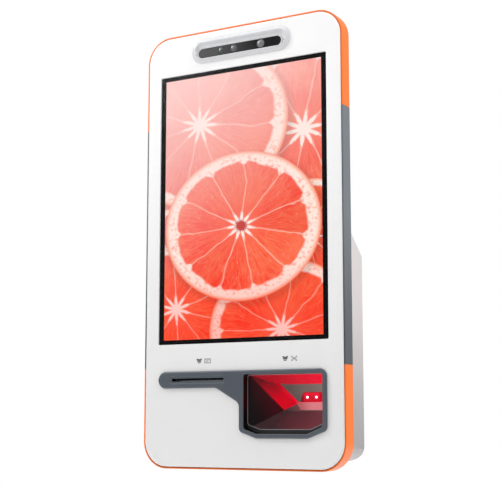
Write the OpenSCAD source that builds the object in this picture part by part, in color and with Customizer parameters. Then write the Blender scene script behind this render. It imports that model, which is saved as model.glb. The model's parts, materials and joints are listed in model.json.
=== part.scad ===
// Wall-mounted self checkout kiosk: a touch display door over a receipt printer and a barcode scanner.
// The frame is X right, Y back and Z up, with its origin at the centre of the wall mount's four holes.

/* [Front door] */
// Width of the white front panel
panel_w = 330; // [328:1:334]
// Top of the white panel above the mount centre
panel_top = 499.5; // [497:0.5:503]
// Bottom of the white panel below the mount centre
panel_bottom = -157.5; // [-161:0.5:-156]
// Corner radius of the white panel
panel_r = 37; // [33:1:39]
// Depth of the coloured edge band
band_d = 23; // [21:0.5:23]
// Height where the orange top band meets the slate side bands
band_split_top = 356; // [300:1:400]
// Height where the slate side bands meet the orange bottom band
band_split_bottom = -13.5; // [-60:0.5:20]

/* [Display] */
// Width of the lit screen area
screen_w = 268; // [260:1:268]
// Height of the lit screen area
screen_h = 402; // [380:1:402]
// Height of the screen's centre above the mount centre
screen_z = 230; // [229:0.5:231]
// Width of the black border beside the lit area
border_w = 8; // [4:0.5:8]
// Height of the black border above and below the lit area
border_h = 6.3; // [4:0.1:6.3]

/* [Rear housing] */
// Depth from the front panel to the mounting face
case_d = 93; // [92:1:96]
// Width of the rear housing
case_w = 312; // [308:1:314]
// Bottom of the rear housing
case_bottom = -148; // [-149:0.5:-147]
// Wall thickness of the rear housing
case_wall = 2.5; // [2:0.1:3]

/* [Receipt printer] */
// Width of the paper
paper_w = 80; // [76:1:80]
// Centre of the paper across the kiosk
paper_x = -71; // [-72:0.5:-70]
// Radius of a full paper roll
roll_r = 36; // [28:1:36]
// Radius of the platen roller
platen_r = 7; // [6.5:0.1:7]
// Teeth on the platen gear
platen_teeth = 24; // [24]
// Teeth on the motor pinion
pinion_teeth = 12; // [12]
// Gear module
gear_module = 0.8; // [0.8]

/* [Wall mount] */
// Hole spacing of the square wall mount
mount_pitch = 100; // [75:25:100]
// Radius of each mounting hole
mount_hole_r = 2; // [2:0.05:2.2]

/* [Hidden] */
$fn = 64;

slate = [0.43, 0.45, 0.48];
orange = [1.0, 0.5, 0.22];
steel = [0.66, 0.68, 0.7];
board_green = [0.08, 0.3, 0.2];

front = -case_d;
mid_z = (panel_top + panel_bottom) / 2;
panel_h = panel_top - panel_bottom;
panel_t = 2.1;
band_step = 3;
band_w = panel_w + 2 * band_step;
band_h = panel_h + 2 * band_step;
band_r = panel_r + band_step;
band_t = 4;
groove_w = 1.2;
groove_d = 1.5;
band_front = front + panel_t;
band_back = band_front + band_d;
skirt_gap = 0.2;
skirt_t = 2.5;
door_gap = 0.5;
plate_t = 1.5;
plate_front = band_back + door_gap;
glass_w = screen_w + 2 * border_w;
glass_h = screen_h + 2 * border_h;
glass_t = 1.8;
camera_z = 470;
window_z = 465.3;
slot_z = -30.9;
slot_w = 89;
slot_h = 4.4;
bezel_out = 3.5;
bezel_front = front - bezel_out;
scan_left = 7.5;
scan_right = 133.5;
scan_top = -24.5;
scan_bottom = -109;
hinge_x = -160;
hinge_y = -63.5;
knuckle_r = 3.7;
pin_r = 1.5;
pin_gap = 0.05;
knuckle_h = 16;
hinge_levels = [-92, 170, 420];
door_screw_z = [-60, 60, 240, 330, 465];
slope_top = 199;
slope_bottom = 142;
case_back_r = 8;
case_corner_r = 8;
case_foot_r = 28;
platen_y = front + 24;
platen_z = -38;
roll_y = front + 50;
roll_z = -100;
paper_t = 0.3;
gear_x = paper_x - paper_w / 2 - 11;
pinion_y = platen_y + 10.2;
pinion_z = platen_z - 10.18;
lid_y = front + 84;
lid_z = -22;
lock_x = 115;
lock_y = front + 50;

// Slab between two depths, from an outline drawn in X and Z
module slab(y0, y1) {
    translate([0, y1, 0]) rotate([90, 0, 0]) linear_extrude(y1 - y0) children();
}

// Bar between two X positions, from an outline drawn in Y and Z
module across(x0, x1) {
    translate([x0, 0, 0]) rotate([90, 0, 90]) linear_extrude(x1 - x0) children();
}

// Block between two corners
module block(low, high) {
    translate(low) cube(high - low);
}

// Rounded rectangle about its centre
module round_rect(w, h, r) {
    square([w, h - 2 * r], center = true);
    square([w - 2 * r, h], center = true);
    for (x = [-1, 1], z = [-1, 1]) translate([x * (w / 2 - r), z * (h / 2 - r)]) circle(r);
}

// Round bar along X, Y or Z from a starting point
module rod_x(x0, x1, y, z, r) {
    translate([x0, y, z]) rotate([0, 90, 0]) cylinder(h = x1 - x0, r = r);
}

module rod_y(x, y0, y1, z, r) {
    translate([x, y0, z]) rotate([-90, 0, 0]) cylinder(h = y1 - y0, r = r);
}

module rod_z(x, y, z0, z1, r) {
    translate([x, y, z0]) cylinder(h = z1 - z0, r = r);
}

// Involute spur gear outline with its first tooth on the +X side
function involute(base, t) = [base * (cos(t) + t * PI / 180 * sin(t)), base * (sin(t) - t * PI / 180 * cos(t))];
function turned(p, a) = [p[0] * cos(a) - p[1] * sin(a), p[0] * sin(a) + p[1] * cos(a)];
function roll_angle(base, r) = sqrt(max(0, pow(r / base, 2) - 1)) * 180 / PI;
function flank_angle(base, r) = roll_angle(base, r) - atan(roll_angle(base, r) * PI / 180);

module gear_outline(teeth, slack) {
    pitch = teeth * gear_module / 2;
    base = pitch * cos(20);
    tip = pitch + gear_module * 0.9;
    root = pitch - gear_module * 1.2;
    half = 90 / teeth - slack + flank_angle(base, pitch);
    flank = [for (i = [0:4]) turned(involute(base, roll_angle(base, tip) * i / 4), -half)];
    mirrored = [for (i = [4:-1:0]) [flank[i][0], -flank[i][1]]];
    circle(max(root, 0.1));
    for (i = [0:teeth - 1]) rotate(i * 360 / teeth)
        polygon(concat([[root * 0.9, flank[0][1]]], flank, mirrored, [[root * 0.9, -flank[0][1]]]));
}

// ---- Front door ----

// Outlines drawn in X and Z
module panel_outline(grow) {
    translate([0, mid_z]) round_rect(panel_w + 2 * grow, panel_h + 2 * grow, panel_r + grow);
}

module screen_outline(grow) {
    translate([0, screen_z]) square([glass_w + 2 * grow, glass_h + 2 * grow], center = true);
}

module pill(w, h) {
    square([w - h, h], center = true);
    for (x = [-1, 1]) translate([x * (w - h) / 2, 0]) circle(h / 2);
}

module scanner_opening(grow) {
    left = scan_left - grow;
    right = scan_right + grow;
    polygon([
        [left, scan_top + grow], [right, scan_top + grow], [right, scan_bottom + 10],
        [right - 24 - grow, scan_bottom - grow], [left + 21 + grow, scan_bottom - grow], [left, scan_bottom + 7]
    ]);
}

module front_cover() {
    color([0.96, 0.96, 0.95]) difference() {
        union() {
            slab(front, band_front) panel_outline(0);
            slab(band_front, band_back - 1) difference() {
                panel_outline(-skirt_gap - 0.9);
                panel_outline(-skirt_gap - 0.9 - skirt_t);
            }
        }
        slab(front - 1, band_front + 1) {
            screen_outline(0.3);
            translate([0, camera_z]) pill(156, 28);
            translate([paper_x, slot_z]) square([slot_w + 12, 16], center = true);
            scanner_opening(2);
        }
    }
}

// Edge band, kept between two heights, with a shadow groove against the panel
module band_part(low, high) {
    difference() {
        slab(band_front, band_back) intersection() {
            difference() {
                panel_outline(band_step);
                panel_outline(band_step - band_t);
            }
            translate([-band_w, low]) square([2 * band_w, high - low]);
        }
        slab(band_front - 1, band_front + groove_d) panel_outline(groove_w);
    }
}

module band_top() {
    color(orange) band_part(band_split_top, panel_top + 10);
}

module band_bottom() {
    color(orange) band_part(panel_bottom - 10, band_split_bottom);
}

module band_side(side) {
    intersection() {
        band_part(band_split_bottom, band_split_top);
        translate([side * band_w / 2, mid_z, 0]) cube([band_w, 2000, 2000], center = true);
    }
}

module band_left() {
    color(slate) band_side(-1);
}

module band_right() {
    color(slate) band_side(1);
}

frame_back = band_back - 1;
frame_front = frame_back - plate_t;

module door_frame() {
    color(steel) difference() {
        union() {
            slab(frame_front, frame_back) panel_outline(-4);
            for (x = [-151, 149.5]) block([x, band_front + 0.2, -110], [x + plate_t, frame_front, 450]);
        }
        slab(frame_front - 1, frame_back + 1) {
            translate([-144, -149]) square([131, 194]);
            translate([-1, -122]) square([149, 120]);
            translate([lock_x - 32, -149]) square([26, 24]);
            translate([0, screen_z + 40]) square([220, 290], center = true);
            translate([0, 465]) square([190, 30], center = true);
        }
        for (x = [-156, 156], z = door_screw_z) rod_y(x, frame_front - 1, frame_back + 1, z, 1.6);
    }
}

module touch_glass() {
    color([0.75, 0.8, 0.85, 0.3]) slab(front + 0.1, front + 0.1 + glass_t) screen_outline(0);
}

module screen_border() {
    color([0.02, 0.02, 0.03]) slab(front + 0.1 + glass_t, front + 0.5 + glass_t) difference() {
        screen_outline(0);
        translate([0, screen_z]) square([screen_w, screen_h], center = true);
    }
}

display_front = front + 0.5 + glass_t;

module display_panel() {
    color([0.98, 0.45, 0.35]) {
        slab(display_front, display_front + 10.5) translate([0, screen_z])
            square([screen_w + 12, screen_h + 8], center = true);
    }
}

module display_board() {
    color(board_green) {
        block([-90, display_front + 11.5, 240], [60, display_front + 13.1, 330]);
        for (x = [-70, -25, 20], z = [255, 300])
            block([x, display_front + 13.1, z], [x + 22, display_front + 15.2, z + 16]);
        for (x = [-85, 52], z = [245, 322]) block([x, display_front + 10.5, z], [x + 4, display_front + 11.5, z + 4]);
    }
}

module camera_bezel() {
    color([0.93, 0.93, 0.92]) difference() {
        union() {
            slab(front - 1.5, front + 4) translate([0, camera_z]) pill(171, 38.6);
            slab(front - 3.4, front - 1.5) translate([0, camera_z]) pill(165, 32.6);
            slab(front - 4.6, front - 3.4) translate([0, camera_z]) pill(158, 25.6);
        }
        slab(front - 6, front - 1) translate([0, window_z]) pill(143, 14.6);
        slab(front - 2, front + 5) translate([0, camera_z - 2]) pill(146, 20);
        slab(front, front + 5) difference() {
            translate([0, camera_z]) square([200, 60], center = true);
            translate([0, camera_z]) pill(155.6, 27.6);
        }
    }
}

module camera_window() {
    color([0.02, 0.02, 0.03, 0.8]) slab(front - 4.2, front - 2.6) translate([0, window_z]) pill(142.4, 14);
}

module camera_board() {
    color(board_green) {
        block([-68, front + 4.2, 455.5], [68, front + 5.6, 476]);
        for (x = [-60, 54]) block([x, front + 5.6, 459], [x + 8, front + 8, 471]);
    }
}

// Small lens barrel on the camera board
module lens(x, r) {
    color([0.1, 0.1, 0.11]) difference() {
        union() {
            rod_y(x, front - 1.6, front + 1.2, window_z, r);
            block([x - r - 0.6, front + 1.2, window_z - r - 0.6], [x + r + 0.6, front + 4.2, window_z + r + 0.6]);
        }
        rod_y(x, front - 2.6, front - 0.8, window_z, r - 1);
    }
}

module colour_camera() {
    lens(-31.3, 5.4);
}

module infrared_camera() {
    lens(-9.1, 5.4);
}

module depth_projector() {
    lens(37.2, 6.2);
}

bezel_top = -18.4;
bezel_arm_bottom = -42.9;
bezel_bottom = -115.6;
bezel_x = 140;
bezel_end_r = (bezel_top - bezel_arm_bottom) / 2;

// Outline of the slate bezel: an arm round the receipt slot and a frame round the scanner
module bezel_outline(grow) {
    translate([-bezel_x + bezel_end_r, (bezel_top + bezel_arm_bottom) / 2]) circle(bezel_end_r + grow);
    polygon([
        [-bezel_x + bezel_end_r, bezel_top + grow], [bezel_x - 11, bezel_top + grow],
        [bezel_x + grow, bezel_top - 11], [bezel_x + grow, -102], [136 + grow, -106 - grow],
        [108, bezel_bottom - grow], [28, bezel_bottom - grow], [8, -111 - grow], [-grow, -103],
        [-grow, -68], [-5.6 - grow, -61 - grow], [-40, bezel_arm_bottom - grow],
        [-bezel_x + bezel_end_r, bezel_arm_bottom - grow]
    ]);
    translate([bezel_x - 11, bezel_top - 11]) circle(11 + grow);
}

module slot_bezel() {
    color([0.3, 0.33, 0.35]) difference() {
        union() {
            slab(bezel_front, bezel_front + 1) bezel_outline(-1);
            slab(bezel_front + 1, front) bezel_outline(0);
            slab(front, front + 6) translate([paper_x, slot_z]) square([slot_w + 11.4, 15.4], center = true);
            slab(front, front + 14) scanner_opening(1.6);
        }
        slab(bezel_front - 1, front + 15) {
            translate([paper_x, slot_z]) square([slot_w, slot_h], center = true);
            scanner_opening(0);
        }
        slab(bezel_front - 1, bezel_front + 1) translate([paper_x, slot_z]) pill(slot_w + 8, 10.6);
    }
}

glass_y = front + 9;

module scanner_glass() {
    color([0.3, 0.1, 0.1, 0.3]) slab(glass_y, glass_y + 2) scanner_opening(-0.1);
}

hood_back = front + 79;

module scanner_hood() {
    color([0.09, 0.08, 0.09]) difference() {
        block([1, front + 14, -118], [142, hood_back, -8]);
        slab(front + 13, front + 40) scanner_opening(-0.5);
        block([40, front + 13, -100], [132, hood_back - 2.5, -34]);
    }
}

engine_x = 86.8;
engine_w = 50;
engine_bottom = -75;
shelf_h = 11;
lamp_pitch = 14.5;
lamp_z = -56.8;

module scan_engine() {
    color([0.75, 0.35, 0.38]) block([engine_x - engine_w / 2, front + 56, engine_bottom],
                                    [engine_x + engine_w / 2, hood_back - 2.5, engine_bottom + shelf_h]);
    color([0.6, 0.08, 0.1]) block([engine_x - engine_w / 2 + 6, front + 60, engine_bottom + shelf_h],
                                  [engine_x + engine_w / 2 - 6, hood_back - 2.5, engine_bottom + 26]);
}

module scan_lamps() {
    color([1, 0.8, 0.8]) for (side = [-1, 1]) {
        rod_y(engine_x + side * lamp_pitch / 2, front + 57, front + 58.5, lamp_z, 2.2);
        rod_y(engine_x + side * lamp_pitch / 2, front + 58.5, front + 60, lamp_z, 2.8);
    }
}

// Knuckles at each hinge level: two on the chassis and one between them on the door
module knuckles(spans) {
    for (level = hinge_levels, span = spans)
        difference() {
            rod_z(hinge_x, hinge_y, level + span[0], level + span[1], knuckle_r);
            rod_z(hinge_x, hinge_y, level + span[0] - 1, level + span[1] + 1, pin_r + pin_gap);
        }
}

module door_hinge_leaf() {
    color(steel) {
        knuckles([[-knuckle_h / 2 + 0.3, knuckle_h / 2 - 0.3]]);
        for (level = hinge_levels) difference() {
            union() {
                block([hinge_x - 2, frame_back, level - knuckle_h / 2 + 0.3],
                      [hinge_x + 12, frame_back + 1.2, level + knuckle_h / 2 - 0.3]);
                block([hinge_x - 2, frame_back, level - knuckle_h / 2 + 0.3],
                      [hinge_x + 1.5, hinge_y - 2, level + knuckle_h / 2 - 0.3]);
            }
            rod_z(hinge_x, hinge_y, level - knuckle_h, level + knuckle_h, knuckle_r - 0.6);
        }
    }
}

module latch_strike() {
    color(steel) {
        block([lock_x - 26, frame_front, -132], [lock_x - 14, lock_y + 6.2, -130.4]);
        block([lock_x - 26, lock_y + 6.2, -141], [lock_x - 14, lock_y + 8, -130.4]);
        block([lock_x - 26, frame_back, -130.4], [lock_x - 14, frame_back + plate_t - 1, -122]);
    }
}

module door_screws() {
    color(steel) for (x = [-156, 156], z = door_screw_z) {
        rod_y(x, frame_front - 5, frame_back, z, 1.5);
        rod_y(x, frame_back, frame_back + 0.9, z, 2.8);
    }
}

// ---- Rear case ----

// Side outline of the rear housing, moved inwards by a wall thickness
module case_side(inset, reach) {
    run = -plate_front;
    rise = slope_top - slope_bottom;
    drop = inset * sqrt(run * run + rise * rise) / run;
    intersection() {
        polygon([
            [plate_front - reach, slope_top + reach * rise / run - drop],
            [-inset, slope_bottom + inset * rise / run - drop],
            [-inset, case_bottom + inset], [plate_front - reach, case_bottom + inset]
        ]);
        translate([-200, case_bottom + 200]) round_rect(400 - 2 * inset, 400 - 2 * inset, case_back_r - inset);
    }
}

module case_solid(inset, reach) {
    intersection() {
        across(-case_w / 2 + inset, case_w / 2 - inset) case_side(inset, reach);
        translate([0, -100 - inset, case_bottom - 10]) linear_extrude(400)
            round_rect(case_w - 2 * inset, 200, case_corner_r - inset);
        slab(-200, 50) translate([0, case_bottom + 250])
            round_rect(case_w - 2 * inset, 500 - 2 * inset, case_foot_r - inset);
    }
}

module mount_holes(y0, y1, r) {
    for (x = [-1, 1], z = [-1, 1]) rod_y(x * mount_pitch / 2, y0, y1, z * mount_pitch / 2, r);
}

insert_r = 3.5;
insert_h = 6.5;

module rear_housing() {
    color([0.8, 0.79, 0.79]) difference() {
        case_solid(0, 0);
        case_solid(case_wall, 5);
        mount_holes(-10, 1, insert_r);
        for (x = [-120:10:120]) translate([x, -40, 160]) cube([4, 30, 60], center = true);
        rod_z(lock_x, lock_y, case_bottom - 1, case_bottom + 10, 9);
        rod_z(-8, -40, case_bottom - 1, case_bottom + 10, 5.6);
        block([10, -58, case_bottom - 1], [90, -26, case_bottom + 5]);
        for (z = [-56:6:-26]) block([-case_w / 2 - 1, -52, z], [-case_w / 2 + 5, -26, z + 2.4]);
    }
}

module back_plate() {
    color(steel) difference() {
        slab(plate_front, plate_front + plate_t) intersection() {
            panel_outline(-10);
            translate([-case_w / 2, slope_top]) square([case_w, 400]);
        }
        for (x = [-100:12.5:100]) block([x, plate_front - 1, 420], [x + 4, plate_front + 3, 455]);
        rod_y(0, plate_front - 1, plate_front + 3, 230, 10);
    }
}

module mount_plate() {
    color(steel) difference() {
        slab(-case_wall - 2, -case_wall) round_rect(mount_pitch + 30, mount_pitch + 30, 8);
        mount_holes(-10, 1, insert_r);
    }
}

module wall_inserts() {
    color([0.8, 0.65, 0.3]) difference() {
        mount_holes(-insert_h, 0, insert_r);
        mount_holes(-insert_h - 1, 1, mount_hole_r);
    }
}

module chassis_hinge_leaf() {
    outer = knuckle_h * 1.5;
    inner = knuckle_h / 2;
    spans = [[-outer, -inner], [inner, outer]];
    color(steel) {
        knuckles(spans);
        difference() {
            for (level = hinge_levels, span = spans) {
                wall = level < slope_top;
                block([hinge_x, hinge_y - 2.4, level + span[0]],
                      [wall ? -case_w / 2 : hinge_x + 20, hinge_y + (wall ? 2.4 : -0.9), level + span[1]]);
                if (wall)
                    block([-case_w / 2 - 1.5, hinge_y, level + span[0]],
                          [-case_w / 2, hinge_y + 20, level + span[1]]);
            }
            for (level = hinge_levels)
                rod_z(hinge_x, hinge_y, level - outer - 1, level + outer + 1, knuckle_r - 0.6);
        }
    }
}

module hinge_pins() {
    color(steel) for (level = hinge_levels) {
        rod_z(hinge_x, hinge_y, level - knuckle_h * 1.5 - 1, level + knuckle_h * 1.5, pin_r);
        rod_z(hinge_x, hinge_y, level + knuckle_h * 1.5, level + knuckle_h * 1.5 + 1.2, pin_r + 1.2);
    }
}

lock_top = -141;

module lock_barrel() {
    color(steel) difference() {
        union() {
            rod_z(lock_x, lock_y, case_bottom - 2.5, case_bottom, 11);
            rod_z(lock_x, lock_y, case_bottom, lock_top, 9);
            difference() {
                rod_z(lock_x, lock_y, case_bottom + case_wall, lock_top - 1, 12);
                rod_z(lock_x, lock_y, case_bottom, lock_top, 8.9);
            }
        }
        rod_z(lock_x, lock_y, case_bottom - 4, lock_top + 1, 6.05);
    }
}

module lock_plug() {
    color(steel) difference() {
        union() {
            rod_z(lock_x, lock_y, case_bottom - 2.4, lock_top + 0.5, 6);
            rod_z(lock_x, lock_y, lock_top + 3.5, lock_top + 6, 4);
            rod_z(lock_x, lock_y, lock_top + 0.5, lock_top + 3.5, 3);
        }
        block([lock_x - 0.6, lock_y - 4, case_bottom - 3], [lock_x + 0.6, lock_y + 4, case_bottom + 3]);
    }
}

module lock_cam() {
    color(steel) difference() {
        union() {
            rod_z(lock_x, lock_y, lock_top + 0.5, lock_top + 3.5, 8);
            block([lock_x - 5.5, lock_y - 20, lock_top + 0.5], [lock_x + 5.5, lock_y, lock_top + 3.5]);
        }
        rod_z(lock_x, lock_y, lock_top, lock_top + 5, 3);
    }
}

// ---- Electronics ----

module mainboard() {
    color(board_green) {
        difference() {
            block([-5, -14, 5], [140, -12.4, 132]);
            for (x = [1, 134], z = [11, 126]) rod_y(x, -15, -12, z, 1.6);
        }
        for (x = [1, 134], z = [11, 126]) difference() {
            rod_y(x, -12.4, -case_wall - (x < 65 && z < 65 ? 2 : 0), z, 3);
            rod_y(x, -13, -5, z, 1.6);
        }
    }
    color([0.12, 0.12, 0.13]) {
        for (z = [20, 28]) block([20, -30, z], [90, -14, z + 4]);
        for (x = [5, 24, 43]) block([x, -27, 112], [x + 15, -14, 128]);
        block([104, -17, 60], [122, -14, 78]);
    }
}

module heatsink() {
    color([0.75, 0.76, 0.78]) {
        block([44, -19, 50], [94, -14, 100]);
        for (x = [44:6:92]) block([x, -38, 50], [x + 2, -19, 100]);
    }
}

module power_supply() {
    color([0.7, 0.71, 0.72]) difference() {
        block([-148, -58, 66], [-22, -14, 132]);
        for (x = [-140:12:-40], z = [76:12:118]) rod_y(x, -59, -56.5, z, 3.5);
    }
    color(steel) for (x = [-140, -30]) block([x - 4, -14, 92], [x + 4, -case_wall, 104]);
}

module dc_lead() {
    color([0.1, 0.1, 0.1]) {
        rod_x(-22, -12, -30, 120, 2);
        translate([-12, -30, 120]) sphere(2);
        rod_z(-12, -30, 120, 140, 2);
        translate([-12, -30, 140]) sphere(2);
        rod_x(-12, 12.5, -30, 140, 2);
        translate([12.5, -30, 140]) sphere(2);
        rod_z(12.5, -30, 128, 140, 2);
        block([8, -33, 127.9], [17, -27, 128.1]);
    }
}

module connector_panel() {
    color([0.2, 0.2, 0.21]) difference() {
        union() {
            block([7, -61, case_bottom + case_wall], [93, -24.5, case_bottom + case_wall + 1.5]);
            block([-14, -46, -139], [-2, -34, -133]);
            block([-2, -42, -139], [7, -38, -137]);
            block([7, -42, -144], [9, -38, -137]);
        }
        block([13.9, -52.1, case_bottom], [42.1, -31.9, -142]);
        block([49.9, -50.1, case_bottom], [66.1, -33.9, -142]);
        block([71.9, -50.1, case_bottom], [86.1, -35.9, -142]);
    }
}

module power_inlet() {
    color([0.06, 0.06, 0.07]) difference() {
        block([14, -52, case_bottom], [42, -32, -124]);
        block([17, -49, case_bottom - 1], [39, -35, -132]);
    }
    color([0.8, 0.7, 0.4]) for (x = [22, 28, 34])
        block([x - 0.8, -44, -142], [x + 0.8, -40, -132]);
}

module data_sockets() {
    color([0.75, 0.75, 0.76]) {
        difference() {
            block([50, -50, case_bottom], [66, -34, -128]);
            block([52, -48, case_bottom - 1], [64, -37, -131]);
        }
        difference() {
            block([72, -50, case_bottom], [86, -36, -130]);
            for (y = [-48.5, -41.5]) block([73.5, y, case_bottom - 1], [84.5, y + 4.5, -133]);
        }
    }
}

module power_button() {
    color([0.85, 0.85, 0.86]) {
        rod_z(-8, -40, case_bottom - 1, case_bottom + case_wall + 0.3, 5.2);
        rod_z(-8, -40, case_bottom + case_wall + 0.3, case_bottom + case_wall + 1.8, 7);
        rod_z(-8, -40, case_bottom + case_wall + 1.8, -141, 2);
    }
}

module speaker() {
    color([0.1, 0.1, 0.11]) difference() {
        block([-case_w / 2 + case_wall, -58, -62], [-144, -20, -18]);
        block([-case_w / 2, -55.5, -59.5], [-147, -22.5, -20.5]);
    }
    color([0.25, 0.25, 0.26]) for (z = [-49.5, -30.5]) difference() {
        rod_x(-150, -147, -39, z, 8.5);
        rod_x(-151, -148, -39, z, 6.5);
    }
}

module housing_screws() {
    color(steel) for (x = [-125, -50, 50, 125], z = [215, 470])
        rod_y(x, plate_front + plate_t, plate_front + plate_t + 1.2, z, 3);
}

// ---- Receipt printer ----

side_t = 2;
left_side = paper_x - paper_w / 2 - 4.5;
right_side = paper_x + paper_w / 2 + 2.5;
pivot_r = 2;
shaft_r = 2.5;
spindle_r = 6.2;
web_gap = 0.15;
web_t = 0.2;
blade_y = front + 8.5;

module frame_side() {
    polygon([
        [front + 7, -140], [front + 7, -32], [front + 34, -32], [front + 43, -52],
        [front + 72, -52], [front + 79, -16], [-4.6, -16], [-4.6, -124], [-12, -140]
    ]);
}

module printer_frame() {
    color(steel) difference() {
        union() {
            for (x = [left_side, right_side]) across(x, x + side_t) frame_side();
            block([left_side, front + 7, -140], [right_side + side_t, -12, -138.5]);
            block([left_side, front + 7, -140], [right_side + side_t, front + 8.5, -104]);
            block([left_side + side_t, blade_y + 1.1, -38], [right_side, blade_y + 2.1, -31.3]);
            rod_x(left_side, right_side + side_t, lid_y, lid_z, pivot_r);
            for (x = [left_side + 8, right_side - 6], y = [front + 14, -32])
                rod_z(x, y, case_bottom + case_wall, -140, 4);
        }
        rod_x(left_side - 1, right_side + 5, platen_y, platen_z, shaft_r + pin_gap);
        rod_x(left_side - 1, left_side + 5, pinion_y, pinion_z, 1.4);
        rod_x(left_side - 1, right_side + 5, roll_y, roll_z, 3);
    }
    color(steel) difference() {
        rod_x(left_side + side_t, right_side, roll_y, roll_z, spindle_r);
        rod_x(left_side, right_side + 5, roll_y, roll_z, 3);
    }
}

// Tangent line from the roll to the platen, in Y and Z
web_dir = [platen_y - roll_y, platen_z - roll_z];
web_len = norm(web_dir);
web_u = web_dir / web_len;
web_tilt = asin((roll_r + 0.3 - platen_r - web_gap) / web_len);
web_n = [web_u[1] * cos(web_tilt) + web_u[0] * sin(web_tilt), -web_u[0] * cos(web_tilt) + web_u[1] * sin(web_tilt)];
web_angle = atan2(web_n[1], web_n[0]);

module paper_web() {
    low = platen_r + web_gap;
    color([0.97, 0.97, 0.95]) across(paper_x - paper_w / 2 + 0.5, paper_x + paper_w / 2 - 0.5) {
        polygon([
            [roll_y, roll_z] + web_n * (roll_r + 0.3), [roll_y, roll_z] + web_n * (roll_r + 0.3 + web_t),
            [platen_y, platen_z] + web_n * (low + web_t), [platen_y, platen_z] + web_n * low
        ]);
        translate([platen_y, platen_z]) intersection() {
            difference() {
                circle(low + web_t);
                circle(low);
            }
            polygon([[0, 0], 20 * web_n, [10, 20], [0, 20]]);
        }
        translate([blade_y + 2.4, platen_z + low]) square([platen_y - blade_y - 2.4, web_t]);
    }
}

module feed_motor() {
    color([0.55, 0.56, 0.58]) difference() {
        union() {
            rod_x(left_side + side_t, left_side + side_t + 17, pinion_y, pinion_z, 6.7);
            rod_x(left_side + side_t + 17, left_side + side_t + 18.5, pinion_y, pinion_z, 3);
        }
        rod_x(left_side, left_side + 10, pinion_y, pinion_z, 1.05);
    }
}

module printer_board() {
    color(board_green) block([left_side - 22, -62, -104], [left_side - 20.4, -16, -50]);
    color([0.12, 0.12, 0.13]) {
        block([left_side - 20.4, -50, -90], [left_side - 18.4, -36, -76]);
        block([left_side - 20.4, -58, -64], [left_side - 14, -22, -58]);
    }
    color(steel) for (z = [-98, -54])
        rod_x(left_side - 20.4, left_side, -20, z, 2);
}

module platen_roller() {
    color([0.08, 0.08, 0.08]) difference() {
        rod_x(paper_x - paper_w / 2 - 0.5, paper_x + paper_w / 2 + 0.5, platen_y, platen_z, platen_r);
        rod_x(paper_x - paper_w, paper_x + paper_w, platen_y, platen_z, shaft_r);
    }
}

module platen_shaft() {
    color(steel) rod_x(gear_x - 4, right_side + side_t + 2, platen_y, platen_z, shaft_r);
}

module platen_gear() {
    color([0.9, 0.88, 0.8]) difference() {
        translate([0, platen_y, platen_z]) across(gear_x - 3, gear_x + 3) gear_outline(platen_teeth, 0.5);
        rod_x(gear_x - 4, gear_x + 4, platen_y, platen_z, shaft_r);
    }
}

module motor_pinion() {
    color([0.85, 0.7, 0.35]) union() {
        translate([0, pinion_y, pinion_z]) across(gear_x - 3, gear_x + 3) gear_outline(pinion_teeth, 1);
        rod_x(gear_x + 3, left_side + side_t + 6, pinion_y, pinion_z, 1);
    }
}

module paper_roll() {
    color([0.97, 0.97, 0.95]) difference() {
        rod_x(paper_x - paper_w / 2 + 0.4, paper_x + paper_w / 2 - 0.4, roll_y, roll_z, roll_r);
        rod_x(paper_x - paper_w, paper_x + paper_w, roll_y, roll_z, 9);
    }
}

module roll_core() {
    color([0.7, 0.55, 0.4]) difference() {
        rod_x(paper_x - paper_w / 2 + 0.4, paper_x + paper_w / 2 - 0.4, roll_y, roll_z, 9);
        rod_x(paper_x - paper_w, paper_x + paper_w, roll_y, roll_z, spindle_r + 0.08);
    }
}

lid_left = left_side + side_t + 0.8;
lid_right = right_side - 0.8;

module head_carrier() {
    color([0.25, 0.27, 0.3]) difference() {
        union() {
            block([lid_left, front + 12, -20], [lid_right, -12, -18.5]);
            for (x = [lid_left, lid_right - 1.2]) across(x, x + 1.2) {
                polygon([
                    [front + 12, -29.5], [front + 12, -18.5], [-12, -18.5],
                    [lid_y, lid_z + 3.5], [lid_y, lid_z - 4], [front + 60, -26]
                ]);
                translate([lid_y, lid_z]) circle(4);
            }
        }
        rod_x(lid_left - 1, lid_right + 1, lid_y, lid_z, pivot_r + pin_gap);
    }
}

module thermal_head() {
    color([0.7, 0.71, 0.72]) block([lid_left + 1.4, front + 14, -27.6], [lid_right - 1.4, front + 38, -24.5]);
    color([0.93, 0.9, 0.85]) block([lid_left + 3, front + 16, -30.55], [lid_right - 3, front + 34, -27.6]);
}

module head_springs() {
    color(steel) for (x = [paper_x - 26, paper_x + 26]) {
        for (z = [-23.85:1.2:-20.5]) translate([x, platen_y, z]) rotate_extrude() translate([3, 0]) circle(0.63);
        rod_z(x, platen_y, -24.5, -20, 1.4);
    }
}

module cutter_housing() {
    color([0.16, 0.17, 0.18]) difference() {
        block([lid_left, front + 7, -29.3], [lid_right, front + 12, -12]);
        block([lid_left + 1, blade_y - 0.6, -30], [lid_right - 1, blade_y + 0.6, -13.5]);
    }
}

module cutter_blade() {
    color([0.85, 0.86, 0.88]) slab(blade_y - 0.5, blade_y + 0.5) polygon([
        [lid_left + 1.5, -29.4], [paper_x, -27.9], [lid_right - 1.5, -29.4],
        [lid_right - 1.5, -19.5], [lid_left + 1.5, -19.5]
    ]);
}

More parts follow.
